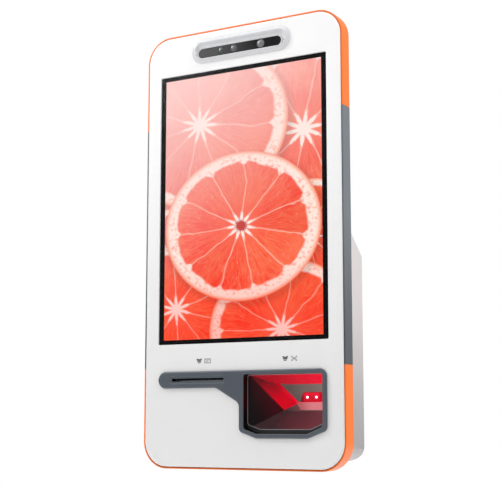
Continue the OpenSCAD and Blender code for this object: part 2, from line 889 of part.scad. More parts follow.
front_cover();
band_top();
band_bottom();
band_left();
band_right();
door_frame();
touch_glass();
screen_border();
display_panel();
display_board();
camera_bezel();
camera_window();
camera_board();
colour_camera();
infrared_camera();
depth_projector();
slot_bezel();
scanner_glass();
scanner_hood();
scan_engine();
scan_lamps();
door_hinge_leaf();
latch_strike();
door_screws();
rear_housing();
back_plate();
mount_plate();
wall_inserts();
chassis_hinge_leaf();
hinge_pins();
lock_barrel();
printer_frame();
paper_web();
feed_motor();
printer_board();
mainboard();
heatsink();
power_supply();
dc_lead();
connector_panel();
power_inlet();
data_sockets();
speaker();
housing_screws();
lock_plug();
lock_cam();
platen_roller();
platen_shaft();
platen_gear();
motor_pinion();
paper_roll();
roll_core();
head_carrier();
thermal_head();
head_springs();
cutter_housing();
cutter_blade();
power_button();
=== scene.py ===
import json
import math
import bmesh
import bpy
from mathutils import Matrix, Vector
from mathutils.geometry import tessellate_polygon

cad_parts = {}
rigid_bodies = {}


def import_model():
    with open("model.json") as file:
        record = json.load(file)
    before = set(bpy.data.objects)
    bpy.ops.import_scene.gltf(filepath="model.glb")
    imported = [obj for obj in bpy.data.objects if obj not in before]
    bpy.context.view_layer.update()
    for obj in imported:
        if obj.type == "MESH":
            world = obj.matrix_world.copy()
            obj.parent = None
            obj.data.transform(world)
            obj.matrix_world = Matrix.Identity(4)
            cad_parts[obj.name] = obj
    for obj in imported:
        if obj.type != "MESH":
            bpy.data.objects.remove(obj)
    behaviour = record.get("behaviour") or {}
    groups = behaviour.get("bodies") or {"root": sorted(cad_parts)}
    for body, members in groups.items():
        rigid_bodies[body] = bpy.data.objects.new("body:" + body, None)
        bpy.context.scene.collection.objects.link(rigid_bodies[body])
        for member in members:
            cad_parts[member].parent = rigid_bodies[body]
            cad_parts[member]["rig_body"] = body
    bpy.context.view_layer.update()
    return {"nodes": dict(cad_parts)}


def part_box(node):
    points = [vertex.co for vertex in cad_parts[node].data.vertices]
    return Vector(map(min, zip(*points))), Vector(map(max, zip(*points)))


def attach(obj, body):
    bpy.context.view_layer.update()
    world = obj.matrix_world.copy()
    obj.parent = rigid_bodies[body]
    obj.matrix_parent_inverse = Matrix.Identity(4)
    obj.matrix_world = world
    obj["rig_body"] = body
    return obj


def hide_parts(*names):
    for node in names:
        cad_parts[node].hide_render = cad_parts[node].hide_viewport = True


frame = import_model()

MM = 0.001  # outlines, profiles and places of the pieces are in millimetres until their mesh is finished
LOOKS = {}  # every material by a plain name, filled by main()

# ---------------------------------------------------------------- camera, light and floor

CAMERA_PLACE = Vector((0.867, -1.5877, -0.0932))
CAMERA_YAW = math.radians(29.63)
CAMERA_PITCH = math.radians(8.52)
LENS_MM = 85.6
SENSOR_MM = 36.0
FLOOR_Z = -1.15


def add_camera():
    """The camera stands low and to the right of the kiosk, and looks up at it."""
    data = bpy.data.cameras.new("camera")
    data.lens = LENS_MM
    data.sensor_width = SENSOR_MM
    data.clip_end = 60.0
    camera = bpy.data.objects.new("camera", data)
    camera.location = CAMERA_PLACE
    camera.rotation_euler = (math.pi / 2 + CAMERA_PITCH, 0.0, CAMERA_YAW)
    bpy.context.collection.objects.link(camera)
    bpy.context.scene.camera = camera


def add_area_light(name, place, target, size, power):
    data = bpy.data.lights.new(name, "AREA")
    data.shape = "RECTANGLE"
    data.size = data.size_y = size
    data.energy = power
    light = bpy.data.objects.new(name, data)
    light.location = place
    light.rotation_euler = (Vector(target) - Vector(place)).to_track_quat("-Z", "Y").to_euler()
    bpy.context.collection.objects.link(light)


def add_world():
    """White surroundings: bright where the camera sees them, softer as a source of light."""
    world = bpy.data.worlds.new("studio")
    bpy.context.scene.world = world
    world.use_nodes = True
    tree = world.node_tree
    tree.nodes.clear()

    def add(kind, **values):
        node = tree.nodes.new("ShaderNode" + kind)
        for key, value in values.items():
            node.inputs[key.replace("_", " ")].default_value = value
        return node

    seen = add("Background", Color=(1.0, 1.0, 1.0, 1.0))
    lit = add("Background", Color=(0.97, 0.98, 1.0, 1.0))
    height = add("MapRange", From_Min=-0.6, From_Max=0.8, To_Min=0.2, To_Max=0.55)
    parts, mix = add("SeparateXYZ"), add("MixShader")
    for source, target in (
            (add("TexCoord").outputs["Generated"], parts.inputs[0]),
            (parts.outputs["Z"], height.inputs["Value"]),
            (height.outputs["Result"], lit.inputs["Strength"]), (lit.outputs[0], mix.inputs[1]),
            (add("LightPath").outputs["Is Camera Ray"], mix.inputs[0]), (seen.outputs[0], mix.inputs[2]),
            (mix.outputs[0], add("OutputWorld").inputs["Surface"])):
        tree.links.new(source, target)


def add_studio():
    add_world()
    add_area_light("key", (-2.1, -2.2, 1.9), (0.0, -0.05, 0.3), 1.6, 25.0)
    add_area_light("rake", (-2.6, -1.25, 2.3), (0.0, -0.1, 0.2), 0.4, 46.0)
    add_area_light("side_fill", (1.9, -0.4, 1.5), (0.15, 0.0, 0.35), 0.9, 22.0)
    add_area_light("back_left", (-1.6, 1.8, 1.0), (0.0, 0.0, 0.2), 1.4, 16.0)
    add_area_light("floor_wash", (0.0, 0.6, 2.6), (0.0, 1.2, FLOOR_Z), 4.0, 60.0)
    bpy.context.scene.view_settings.view_transform = "Standard"


# ---------------------------------------------------------------- outlines and meshes

SHARP = 1e-2  # stands for a radius of nothing, so that the points of a sharp corner or a tip stay apart
SAME_PLACE = 2e-3  # points closer than this are merged
NO_AREA = 1e-6  # faces smaller than this are left out


def rounded(corners, offset=0.0, steps=8):
    """Points round a closed outline. A corner is (x, z, radius), and they run anticlockwise.

    The outline is moved outwards by offset, and every corner keeps the same number of points.
    """
    if corners[0] == "pill":
        _, cx, cz, reach, radius = corners
        right = arc_points(cx + reach, cz, radius + offset, -math.pi / 2, math.pi / 2, 2 * steps)
        return right + arc_points(cx - reach, cz, radius + offset, math.pi / 2, 1.5 * math.pi, 2 * steps)
    points = []
    count = len(corners)
    for i in range(count):
        here = Vector(corners[i][:2])
        before = (here - Vector(corners[i - 1][:2])).normalized()
        after = (Vector(corners[(i + 1) % count][:2]) - here).normalized()
        turn = math.atan2(before.x * after.y - before.y * after.x, before.dot(after))
        half = math.tan(turn / 2)
        normal = Vector((before.y, -before.x))
        tip = here + normal * offset + before * (offset * half)
        radius = max(corners[i][2] + math.copysign(offset, turn), SHARP)
        if corners[i][2] == 0:
            radius = SHARP
        start = tip - before * (radius * abs(half))
        centre = start - normal * math.copysign(radius, turn)
        first = start - centre
        for k in range(steps + 1):
            angle = turn * k / steps
            c, s = math.cos(angle), math.sin(angle)
            points.append(centre + Vector((first.x * c - first.y * s, first.x * s + first.y * c)))
    return points


def box_corners(x0, z0, x1, z1, radius):
    return [(x0, z0, radius), (x1, z0, radius), (x1, z1, radius), (x0, z1, radius)]


def centred_box(cx, cz, width, height, radius):
    return box_corners(cx - width / 2, cz - height / 2, cx + width / 2, cz + height / 2, radius)


def pill_corners(cx, cz, width, height):
    """A stadium outline, for rounded()."""
    return "pill", cx, cz, (width - height) / 2, height / 2


def arc_points(cx, cz, radius, first, last, steps):
    return [Vector((cx + radius * math.cos(first + (last - first) * k / steps),
                    cz + radius * math.sin(first + (last - first) * k / steps))) for k in range(steps + 1)]


def join_rings(bm, low, high, material=0):
    """Four-sided faces between two closed rings with the same number of points."""
    for i in range(len(low)):
        j = (i + 1) % len(low)
        bm.faces.new((low[i], low[j], high[j], high[i])).material_index = material


def fill(bm, outer, holes=(), material=0):
    """Triangles over the inside of a ring, less its holes."""
    rings = (outer, *holes)
    verts = [v for ring in rings for v in ring]
    for triangle in tessellate_polygon([[v.co.copy() for v in ring] for ring in rings]):
        corners = [verts[i] for i in triangle]
        if len(set(corners)) == 3:
            bm.faces.new(corners).material_index = material


class Shell:
    """A mesh built from outlines at depths along Y."""

    def __init__(self):
        self.bm = bmesh.new()

    def wall(self, corners, profile, steps=8):
        """Rings for each (offset, depth) in the profile, joined in order. Returns the first and last ring."""
        rings = [[self.bm.verts.new((p.x, depth, p.y)) for p in rounded(corners, offset, steps)]
                 for offset, depth in profile]
        for low, high in zip(rings, rings[1:]):
            join_rings(self.bm, low, high)
        return rings[0], rings[-1]

    def cap(self, outer, holes=()):
        fill(self.bm, outer, holes)

    def block(self, low, high):
        """A box between two corners."""
        made = bmesh.ops.create_cube(self.bm, size=1.0)
        for vert in made["verts"]:
            vert.co = Vector([low[k] + (vert.co[k] + 0.5) * (high[k] - low[k]) for k in range(3)])

    def turned(self, centre, profile, sides, material):
        """A surface of revolution about Y: the profile is (radius, distance along the axis)."""
        spin = Vector((0, 0, 1)).rotation_difference(Vector((0, 1, 0))).to_matrix()
        rings = []
        for radius, along in profile:
            ring = []
            for k in range(sides):
                a = 2 * math.pi * k / sides
                ring.append(self.bm.verts.new(
                    Vector(centre) + spin @ Vector((radius * math.cos(a), radius * math.sin(a), along))))
            rings.append(ring)
        for low, high in zip(rings, rings[1:]):
            join_rings(self.bm, low, high, material)

    def finish(self, name, looks, node=None, slot=None, weighted=True):
        bmesh.ops.remove_doubles(self.bm, verts=self.bm.verts, dist=SAME_PLACE)
        empty = [face for face in self.bm.faces if face.calc_area() < NO_AREA]
        bmesh.ops.delete(self.bm, geom=empty, context="FACES_ONLY")
        bmesh.ops.recalc_face_normals(self.bm, faces=self.bm.faces)
        finish_mesh(self.bm, name, looks, 32.0, node, weighted=weighted)


def finish_mesh(bm, name, looks, sharp, node=None, bevel=0.0, bevel_from=40, weighted=True,
                unit=MM):
    """Turns a bmesh into a piece that stands for a CAD node, or else is a detail of the door.

    The unit is the bmesh's own in metres, and bevel is in mm.
    """
    mesh = bpy.data.meshes.new(name)
    bm.transform(Matrix.Scale(unit, 4))
    bm.to_mesh(mesh)
    bm.free()
    mesh.shade_smooth()
    mesh.set_sharp_from_angle(angle=math.radians(sharp))
    piece = bpy.data.objects.new(name, mesh)
    bpy.context.collection.objects.link(piece)
    for look in looks:
        mesh.materials.append(LOOKS[look])
    if bevel:
        modifier = piece.modifiers.new("edges", "BEVEL")
        modifier.width = bevel * MM
        modifier.segments = 2
        modifier.limit_method = "ANGLE"
        modifier.angle_limit = math.radians(bevel_from)
    if weighted:
        modifier = piece.modifiers.new("normals", "WEIGHTED_NORMAL")
        modifier.keep_sharp = True
    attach(piece, frame["nodes"][node]["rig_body"] if node else "door")
    if node:
        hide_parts(node)


# ---------------------------------------------------------------- materials


def arithmetic(operation, swapped=False):
    """An operator of Value that makes a math node."""

    def apply(self, other):
        return self.nodes.math(operation, other, self) if swapped else self.nodes.math(operation, self, other)

    return apply


class Value:
    """A socket's number, vector or colour, on which arithmetic can be written out."""

    __add__ = arithmetic("ADD")
    __mul__ = __rmul__ = arithmetic("MULTIPLY")
    __sub__ = arithmetic("SUBTRACT")
    __truediv__ = arithmetic("DIVIDE")
    __pow__ = arithmetic("POWER")
    __rsub__ = arithmetic("SUBTRACT", True)
    __radd__ = arithmetic("ADD", True)

    def __init__(self, nodes, socket):
        self.nodes = nodes
        self.socket = socket


class Nodes:
    """A material's node tree, with short calls for the nodes used here."""

    def __init__(self, name, specular=0.5):
        self.material = bpy.data.materials.new(name)
        self.material.use_nodes = True
        self.tree = self.material.node_tree
        self.shader = self.tree.nodes["Principled BSDF"]
        self.place = Value(self, self.tree.nodes.new("ShaderNodeTexCoord").outputs["Object"])
        self.set(Specular_IOR_Level=specular)

    def set(self, **values):
        for key, value in values.items():
            self.shader.inputs[key.replace("_", " ")].default_value = value

    def put(self, socket, value):
        if isinstance(value, Value):
            self.tree.links.new(value.socket, socket)
        else:
            socket.default_value = value

    def add(self, kind, inputs, output=0, **settings):
        """A node with its inputs, given by number or name, and its settings. Returns one output."""
        node = self.tree.nodes.new("ShaderNode" + kind)
        for key, value in settings.items():
            setattr(node, key, value)
        for key, value in inputs.items():
            self.put(node.inputs[key], value)
        return Value(self, node.outputs[output])

    def math(self, operation, a, b=0.0):
        return self.add("Math", {0: a, 1: b}, operation=operation)

    def step(self, value, low, high, first=0.0, last=1.0):
        """Smooth change from first to last as the value goes from low to high."""
        inputs = dict(enumerate((value, low, high, first, last)))
        return self.add("MapRange", inputs, interpolation_type="SMOOTHSTEP")

    def mix(self, factor, a, b, blend="MIX"):
        return self.add("Mix", {0: factor, 6: a, 7: b}, 2, data_type="RGBA", blend_type=blend)

    def split(self, vector):
        first = self.add("SeparateXYZ", {0: vector})
        return [Value(self, socket) for socket in first.socket.node.outputs]

    def join(self, x, y, z):
        return self.add("CombineXYZ", {0: x, 1: y, 2: z})

    def scaled(self, factors, turn=(0.0, 0.0, 0.0)):
        return self.add("Mapping", {"Scale": factors, "Rotation": turn, 0: self.place})

    def noise(self, scale, detail=3.0, vector=None, rough=0.5):
        return self.add("TexNoise", {
            "Scale": scale, "Detail": detail, "Roughness": rough, "Vector": vector or self.place}, "Fac")

    def cells(self, scale, vector=None, feature="F1"):
        inputs = {"Scale": scale, "Vector": vector or self.place}
        return self.add("TexVoronoi", inputs, "Distance", feature=feature)

    def colour(self, value):
        self.put(self.shader.inputs["Base Color"], value)

    def rough(self, value):
        self.put(self.shader.inputs["Roughness"], value)

    def glow(self, value, strength):
        self.put(self.shader.inputs["Emission Color"], value)
        self.set(Emission_Strength=strength)

    def bump(self, height, distance):
        normal = self.add("Bump", {"Strength": 1.0, "Distance": distance, "Height": height})
        self.put(self.shader.inputs["Normal"], normal)

    def shade(self, colour, light):
        """A colour made lighter or darker by a factor."""
        return self.mix(1.0, colour, self.join(light, light, light), "MULTIPLY")

    def with_painted_shade(self, light, painted_shade):
        """The light factor with painted shade, made lower towards the foot where less light falls: the shade
        is two heights and the factor at each.
        """
        return light * self.step(self.split(self.place)[2], *painted_shade) if painted_shade else light


def rgb(red, green, blue):
    """A screen colour, 0 to 255, as the linear colour that shaders take."""

    def linear(value):
        value /= 255.0
        return value / 12.92 if value <= 0.04045 else ((value + 0.055) / 1.055) ** 2.4

    return (linear(red), linear(green), linear(blue), 1.0)


def moulded(name, colour, rough=0.38, grain=2200.0, depth=0.00002, mottle=0.03, coat=0.0, specular=0.5,
            painted_shade=None):
    """Injection moulded plastic: a fine spark-eroded grain, faint mottling and handling marks."""
    m = Nodes(name, specular)
    if coat:
        m.set(Coat_Weight=coat, Coat_Roughness=0.15)
    mottling = m.step(m.noise(9.0, 2.0), 0.3, 0.7, 1.0 - mottle, 1.0)
    # painted shade: with a height shade given, the colour darkens towards the foot, where less light falls
    m.colour(m.shade(colour, m.with_painted_shade(mottling, painted_shade)))
    smears = m.noise(26.0, 4.0, m.scaled((1.0, 1.0, 0.35)))
    m.rough(m.step(smears, 0.35, 0.75, rough - 0.04, rough + 0.06))
    m.bump(m.noise(grain, 2.0), depth)
    return m.material


def painted(name, colour, rough=0.42, painted_shade=None):
    """Powder coated sheet: an orange-peel surface with slightly worn gloss."""
    m = Nodes(name, 0.45)
    tone = m.step(m.noise(6.0, 3.0), 0.25, 0.75, 0.965, 1.0)
    # painted shade: with a height shade given, the colour darkens towards the foot, where less light falls
    m.colour(m.shade(colour, m.with_painted_shade(tone, painted_shade)))
    m.rough(m.step(m.noise(40.0, 3.0), 0.3, 0.7, rough - 0.05, rough + 0.07))
    m.bump(m.noise(900.0, 2.0), 0.00004)
    return m.material


def metal(name, colour, rough=0.3, direction=(1.0, 1.0, 60.0), spots=0.0):
    """Rolled or brushed metal, with its grain along one direction and faint stains."""
    m = Nodes(name)
    m.set(Metallic=1.0)
    grain = m.noise(60.0, 4.0, m.scaled(direction), 0.6)
    tone = m.step(grain, 0.25, 0.75, 0.86, 1.0)
    if spots:
        tone = tone * m.step(m.cells(120.0), 0.0, 0.9, 1.0, 1.0 - spots)
    m.colour(m.shade(colour, tone))
    m.rough(m.step(grain, 0.3, 0.7, rough - 0.06, rough + 0.1))
    m.bump(grain, 0.00002)
    return m.material


def clear(name, colour, alpha, rough=0.03, specular=0.5):
    """Thin clear sheet with faint dust and wipe marks in its gloss."""
    m = Nodes(name, specular)
    m.set(Alpha=alpha)
    marks = m.noise(18.0, 4.0, m.scaled((1.0, 1.0, 0.4), (0.0, 0.5, 0.0)))
    m.colour(m.shade(colour, m.step(marks, 0.3, 0.7, 0.92, 1.0)))
    m.rough(m.step(marks, 0.4, 0.8, rough, rough + 0.06))
    m.bump(m.noise(300.0, 2.0), 0.000004)
    return m.material


def circuit_board(name):
    """Green solder mask with copper traces under it and bare pads."""
    m = Nodes(name, 0.6)
    x, y, _ = m.split(m.place)
    tracks = m.math("ABSOLUTE", m.math("FRACT", (x + y) * 420.0) - 0.5)
    trace = m.step(tracks, 0.2, 0.28) * m.step(m.noise(55.0, 1.0), 0.48, 0.52)
    board = m.mix(trace, (0.008, 0.085, 0.04, 1.0), (0.02, 0.17, 0.08, 1.0))
    chosen = m.step(m.cells(210.0), 0.1, 0.16, 1.0, 0.0) * m.step(m.noise(30.0, 1.0), 0.55, 0.6)
    m.colour(m.mix(chosen, board, (0.75, 0.62, 0.3, 1.0)))
    m.rough(m.step(chosen, 0.0, 1.0, 0.32, 0.5))
    m.bump(trace, 0.00003)
    return m.material


def rubber(name, colour, rough=0.7):
    m = Nodes(name, 0.3)
    m.colour(m.shade(colour, m.step(m.noise(70.0, 4.0), 0.3, 0.7, 0.8, 1.1)))
    m.rough(m.step(m.noise(200.0, 3.0), 0.3, 0.7, rough - 0.08, rough + 0.08))
    m.bump(m.noise(1800.0, 2.0), 0.00003)
    return m.material


def fibrous(name, colour, grain=900.0, depth=0.00003):
    """Paper or card: short fibres and a dull surface."""
    m = Nodes(name, 0.2)
    fibres = m.noise(grain, 4.0, m.scaled((0.3, 1.0, 1.0)))
    m.colour(m.shade(colour, m.step(fibres, 0.3, 0.7, 0.93, 1.0)))
    m.rough(m.step(m.noise(120.0, 2.0), 0.3, 0.7, 0.7, 0.85))
    m.bump(fibres, depth)
    return m.material


def wound_paper(name, axis_y, axis_z):
    """The roll's paper: its end faces show the turns as fine rings."""
    m = Nodes(name, 0.2)
    _, y, z = m.split(m.place)
    radius = m.math("SQRT", (y - axis_y) ** 2.0 + (z - axis_z) ** 2.0)
    turns = m.math("SINE", radius * 9000.0)
    uneven = m.noise(1.0, 2.0, m.join(radius * 900.0, 0.0, 0.0))
    m.colour(m.mix(m.step(turns, -1.0, 1.0, 0.0, 0.3), (0.9, 0.9, 0.88, 1.0), (0.62, 0.61, 0.58, 1.0)))
    m.rough(m.step(uneven, 0.3, 0.7, 0.68, 0.85))
    m.bump(turns + uneven, 0.00003)
    return m.material


def glowing(name, colour, strength):
    """A lit lamp, brighter in its middle cells."""
    m = Nodes(name)
    m.colour((0.02, 0.02, 0.02, 1.0))
    m.glow(m.shade(colour, m.step(m.noise(400.0, 1.0), 0.2, 0.8, 0.9, 1.0)), strength)
    m.rough(m.step(m.noise(90.0), 0.3, 0.7, 0.3, 0.4))
    return m.material


# ---------------------------------------------------------------- places taken from the frame


def span(node):
    """A node's lowest and highest corners in mm, as vectors."""
    low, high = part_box(node)
    return Vector(low) / MM, Vector(high) / MM


PANEL_LOW, PANEL_HIGH = span("front_cover")
BAND_HIGH = span("band_top")[1]
GLASS_LOW, GLASS_HIGH = span("touch_glass")
SCREEN_LOW, SCREEN_HIGH = span("display_panel")
BEZEL_LOW, BEZEL_HIGH = span("slot_bezel")
RING_LOW, RING_HIGH = span("camera_bezel")
WINDOW_LOW, WINDOW_HIGH = span("camera_window")
SCAN_LOW, SCAN_HIGH = span("scanner_glass")
HOOD_LOW, HOOD_HIGH = span("scanner_hood")
LAMP_LOW, LAMP_HIGH = span("scan_lamps")
FRONT_Y = PANEL_LOW.y
PANEL_RADIUS = 37
BAND_STEP = 3
BAND_THICK = 4
PANEL_RIM = 2.1
PANEL_CORNERS = box_corners(PANEL_LOW.x, PANEL_LOW.z, PANEL_HIGH.x, PANEL_HIGH.z, PANEL_RADIUS)
SCREEN_CORNERS = box_corners(GLASS_LOW.x, GLASS_LOW.z, GLASS_HIGH.x, GLASS_HIGH.z, 1.6)
LIT_W = 268
LIT_H = 402
SCREEN_Z = (GLASS_LOW.z + GLASS_HIGH.z) / 2
RING_Z = (RING_LOW.z + RING_HIGH.z) / 2
WINDOW_Z = (WINDOW_LOW.z + WINDOW_HIGH.z) / 2
SLOT_X = -71
SLOT_Z = -30.9
SLOT_W = 89
SLOT_H = 4.4


def round_edge(radius, front, sink):
    """Profile from the side of an edge to its front face: a quarter circle."""
    segments = 5
    profile = [(0.0, front + sink)]
    for k in range(segments + 1):
        a = math.pi / 2 * k / segments
        profile.append((radius * (math.cos(a) - 1), front + radius * (1 - math.sin(a))))
    return profile


def scanner_corners(grow=0.0):
    """The scanner's window: square at the top, cut off at the bottom corners."""
    left, right = 7.5 - grow, 133.5 + grow
    top, bottom = -24.5 + grow, -109 - grow
    return [
        (left + 21, bottom, 5), (right - 24, bottom, 8), (right, bottom + 10, 6),
        (right, top, 3.5), (left, top, 3.5), (left, bottom + 7, 5)]


def bezel_corners():
    """The slate bezel: an arm round the receipt slot and a frame round the scanner."""
    left, right = BEZEL_LOW.x, BEZEL_HIGH.x
    top, bottom = BEZEL_HIGH.z, BEZEL_LOW.z
    arm_bottom = top - 24.5
    end = 12.24
    return [
        (left, arm_bottom, end), (-40, arm_bottom, 16), (-0.5, top - 47, 12),
        (-0.5, -106, 7), (28, bottom, 10), (109, bottom, 12),
        (right, -104, 8), (right, top, 11), (left, top, end)]


# ---------------------------------------------------------------- the front door


def make_front_cover():
    """White moulded panel with rounded edges, its skirt behind it and its openings."""
    shell = Shell()
    back = FRONT_Y + PANEL_RIM
    outer_low, outer_high = shell.wall(PANEL_CORNERS, round_edge(2.1, FRONT_Y, PANEL_RIM), 12)
    openings = [
        (SCREEN_CORNERS, 0.35, 1.1, 4),
        (pill_corners(0.0, RING_Z, 160, 28), 0.0, 0.3, 8),
        (centred_box(SLOT_X, SLOT_Z, 101, 16, 1), 0.0, 0.3, 4),
        (scanner_corners(2), 0.0, 0.3, 4)]
    fronts, backs = [], []
    for corners, gap, chamfer, steps in openings:
        front_ring, back_ring = shell.wall(
            corners, [(gap + chamfer, FRONT_Y), (gap + chamfer * 0.3, FRONT_Y + chamfer * 0.4),
                      (gap, FRONT_Y + chamfer), (gap, back)], steps)
        fronts.append(front_ring)
        backs.append(back_ring)
    shell.cap(outer_high, fronts)
    skirt_out, skirt_out_end = shell.wall(PANEL_CORNERS, [(-1.1, back), (-1.1, BAND_HIGH.y - 1)], 12)
    skirt_in, skirt_in_end = shell.wall(PANEL_CORNERS, [(-3.6, back), (-3.6, BAND_HIGH.y - 1)], 12)
    shell.cap(outer_low, [skirt_out])
    shell.cap(skirt_in, backs)
    shell.cap(skirt_out_end, [skirt_in_end])
    shell.finish("front_panel", ["white"], "front_cover")


# the band's front lip, from its outer face to the groove beside the panel: distances out and back
BAND_LIP = [(0.0, 0.25), (-0.08, 0.08), (-0.25, 0.0), (-1.8, 0.0), (-1.8, 1.5), (-BAND_THICK, 1.5)]


def make_band(name, node, look, outline):
    """A stretch of the edge band: its profile swept along an outline.

    The outline is a function of a distance outwards.
    """
    low, high = span(node)
    lip = 0.5
    profile = [(-BAND_THICK, high.y), (-lip, high.y), (0.0, high.y - lip)]
    profile += [(out, low.y + sink) for out, sink in BAND_LIP]
    shell = Shell()
    rows = [[shell.bm.verts.new((x, depth, z)) for x, z in outline(grow)] for grow, depth in profile]
    for a, b in zip(rows, rows[1:] + rows[:1]):
        for i in range(len(a) - 1):
            shell.bm.faces.new((a[i], a[i + 1], b[i + 1], b[i]))
    for column in (0, -1):
        shell.bm.faces.new([row[column] for row in rows])
    shell.finish(name, [look], node)


def make_band_end(name, node, sign):
    """The orange band over the top (sign 1), or under the bottom (sign -1), of the panel."""
    low, high = span(node)
    radius = PANEL_RADIUS + BAND_STEP
    split, end = (low.z, high.z) if sign > 0 else (high.z, low.z)

    def outline(grow):
        arc = arc_points(high.x - radius, end - sign * radius, radius + grow, 0.0, sign * math.pi / 2, 16)
        right = [Vector((high.x + grow, split)), *arc]
        return right + [Vector((-p.x, p.y)) for p in reversed(right)]

    make_band(name, node, "orange", outline)


def make_band_side(name, node, side):
    """A slate strip down one side of the panel, with a hairline gap at its ends."""
    low, high = span(node)
    gap = 0.15
    outer = high.x if side > 0 else low.x

    def outline(grow):
        return [(outer + side * grow, low.z + gap), (outer + side * grow, high.z - gap)]

    make_band(name, node, "slate", outline)


def make_camera_ring():
    """A raised stadium ring that rises to a crest, then dips to the dark window."""
    shell = Shell()
    outer = pill_corners(0.0, RING_Z, RING_HIGH.x - RING_LOW.x, RING_HIGH.z - RING_LOW.z)
    window = pill_corners(0.0, WINDOW_Z, 143, 14.6)
    crest = RING_LOW.y
    rise = [(-2.6, FRONT_Y + 3.5), (0.0, FRONT_Y + 0.05), (-0.25, FRONT_Y - 0.9),
            (-0.7, FRONT_Y - 1.6), (-4.6, crest + 1.1), (-5.4, crest + 0.35),
            (-6.2, crest + 0.1), (-7.0, crest + 0.3), (-7.5, crest + 1.1),
            (-8.2, crest + 2.2), (-9.8, crest + 3.0)]
    base, lip = shell.wall(outer, rise, 16)
    mouth, floor = shell.wall(
        window, [(1.9, crest + 3.0), (1.6, crest + 1.3), (1.0, crest + 0.6),
                 (0.3, crest + 0.75), (0.0, crest + 1.2), (0.0, FRONT_Y - 1.2)], 16)
    shell.cap(lip, [mouth])
    recess = pill_corners(0.0, RING_Z - 2, 146, 20)
    inner_top, inner_bottom = shell.wall(recess, [(0.0, FRONT_Y - 1.2), (0.0, FRONT_Y + 3.5)], 16)
    shell.cap(inner_top, [floor])
    shell.cap(base, [inner_bottom])
    shell.finish("camera_ring", ["ring"], "camera_bezel")


def make_camera_window():
    """Black window over the cameras, with a bevelled edge and an aperture for each lens."""
    shell = Shell()
    corners = pill_corners(0.0, WINDOW_Z, 142.4, 14)
    front, back = WINDOW_LOW.y, WINDOW_HIGH.y
    back_rim, front_rim = shell.wall(corners, [(0.0, back), (0.0, front + 0.4), (-0.4, front)], 16)
    holes = [shell.wall(pill_corners(cx, cz, 2 * r + 0.02, 2 * r), [(0.0, front), (0.0, back)], 12)
             for cx, cz, r in (lens_place(node) for node in LENSES)]
    shell.cap(front_rim, [hole[0] for hole in holes])
    shell.cap(back_rim, [hole[1] for hole in holes])
    shell.finish("camera_glass", ["dark_window"], "camera_window")


LENSES = ("colour_camera", "infrared_camera", "depth_projector")


def lens_place(node):
    low, high = span(node)
    return (low.x + high.x) / 2, (low.z + high.z) / 2, (high.x - low.x) / 2


def make_lens(name, node, glint):
    """Lens barrel that reaches into its aperture: a stepped rim, a domed front element and a dark iris."""
    low, high = span(node)
    cx, cz, r = lens_place(node)
    shell = Shell()
    nose = WINDOW_LOW.y + 0.15
    shell.turned((cx, nose, cz), [
        (r * 0.9, 0.9), (r * 0.92, 0.1), (r * 0.96, -0.15), (r, -0.15), (r * 1.12, 0.0),
        (r * 0.98, 0.1), (r * 0.98, 1.4)], 48, 0)
    # the domed front element takes the glint look: a painted reflection on its glass
    shell.turned((cx, nose - 0.5, cz), [
        (SHARP, 0.0), (r * 0.3, 0.06), (r * 0.6, 0.3), (r * 0.82, 0.75), (r * 0.9, 1.1)], 48, 1)
    shell.turned((cx, nose - 0.53, cz), [(SHARP, 0.0), (r * 0.16, 0.03), (r * 0.2, 0.07)], 32, 2)
    shell.block(low, high)
    shell.finish(name, ["lens_barrel", glint, "lens_dark"], node)


def make_slot_bezel():
    """Slate bezel with softened edges, the receipt slot in its shallow dish and the scanner's deep frame."""
    shell = Shell()
    front = BEZEL_LOW.y
    outline = bezel_corners()
    edge = [(0.0, FRONT_Y), (0.0, front + 1.6), (-0.35, front + 0.8), (-1.0, front + 0.25),
            (-1.9, front)]
    base, top = shell.wall(outline, edge, 10)
    dish = pill_corners(SLOT_X, SLOT_Z, SLOT_W + 8, 10.6)
    dish_top, dish_floor = shell.wall(
        dish, [(0.5, front), (0.1, front + 0.3), (-0.6, front + 1.0), (-1.2, front + 1.1)], 10)
    slot = centred_box(SLOT_X, SLOT_Z, SLOT_W, SLOT_H, 0.7)
    slot_top, slot_end = shell.wall(slot, [(0.3, front + 1.1), (0.0, front + 1.5), (0.0, FRONT_Y + 6)], 4)
    shell.cap(dish_floor, [slot_top])
    scan = scanner_corners()
    scan_top, scan_end = shell.wall(
        scan, [(1.0, front), (0.4, front + 0.3), (0.0, front + 1.1), (0.0, FRONT_Y + 14)], 8)
    shell.cap(top, [dish_top, scan_top])
    duct = centred_box(SLOT_X, SLOT_Z, 100.4, 15.4, 1)
    duct_top, duct_end = shell.wall(duct, [(0.0, FRONT_Y), (0.0, FRONT_Y + 6)], 4)
    well_top, well_end = shell.wall(scanner_corners(1.6), [(0.0, FRONT_Y), (0.0, FRONT_Y + 14)], 8)
    shell.cap(base, [duct_top, well_top])
    shell.cap(duct_end, [slot_end])
    shell.cap(well_end, [scan_end])
    # painted shade: faces deep in the receipt slot's throat and on the scanner frame's inner walls take
    # black, in place of the shade in there
    for face in shell.bm.faces:
        middle = face.calc_center_median()
        in_slot = abs(middle.x - SLOT_X) < SLOT_W / 2 + 0.1 and abs(middle.z - SLOT_Z) < SLOT_H / 2 + 0.1
        in_window = abs(middle.x - 70.5) < 63.1 and abs(middle.z + 66.7) < 42.4
        if middle.y > front + 1.05 and (in_slot or in_window):
            face.material_index = 1
    shell.finish("slate_surround", ["slate_bezel", "black"], "slot_bezel")


# ---------------------------------------------------------------- the lit display


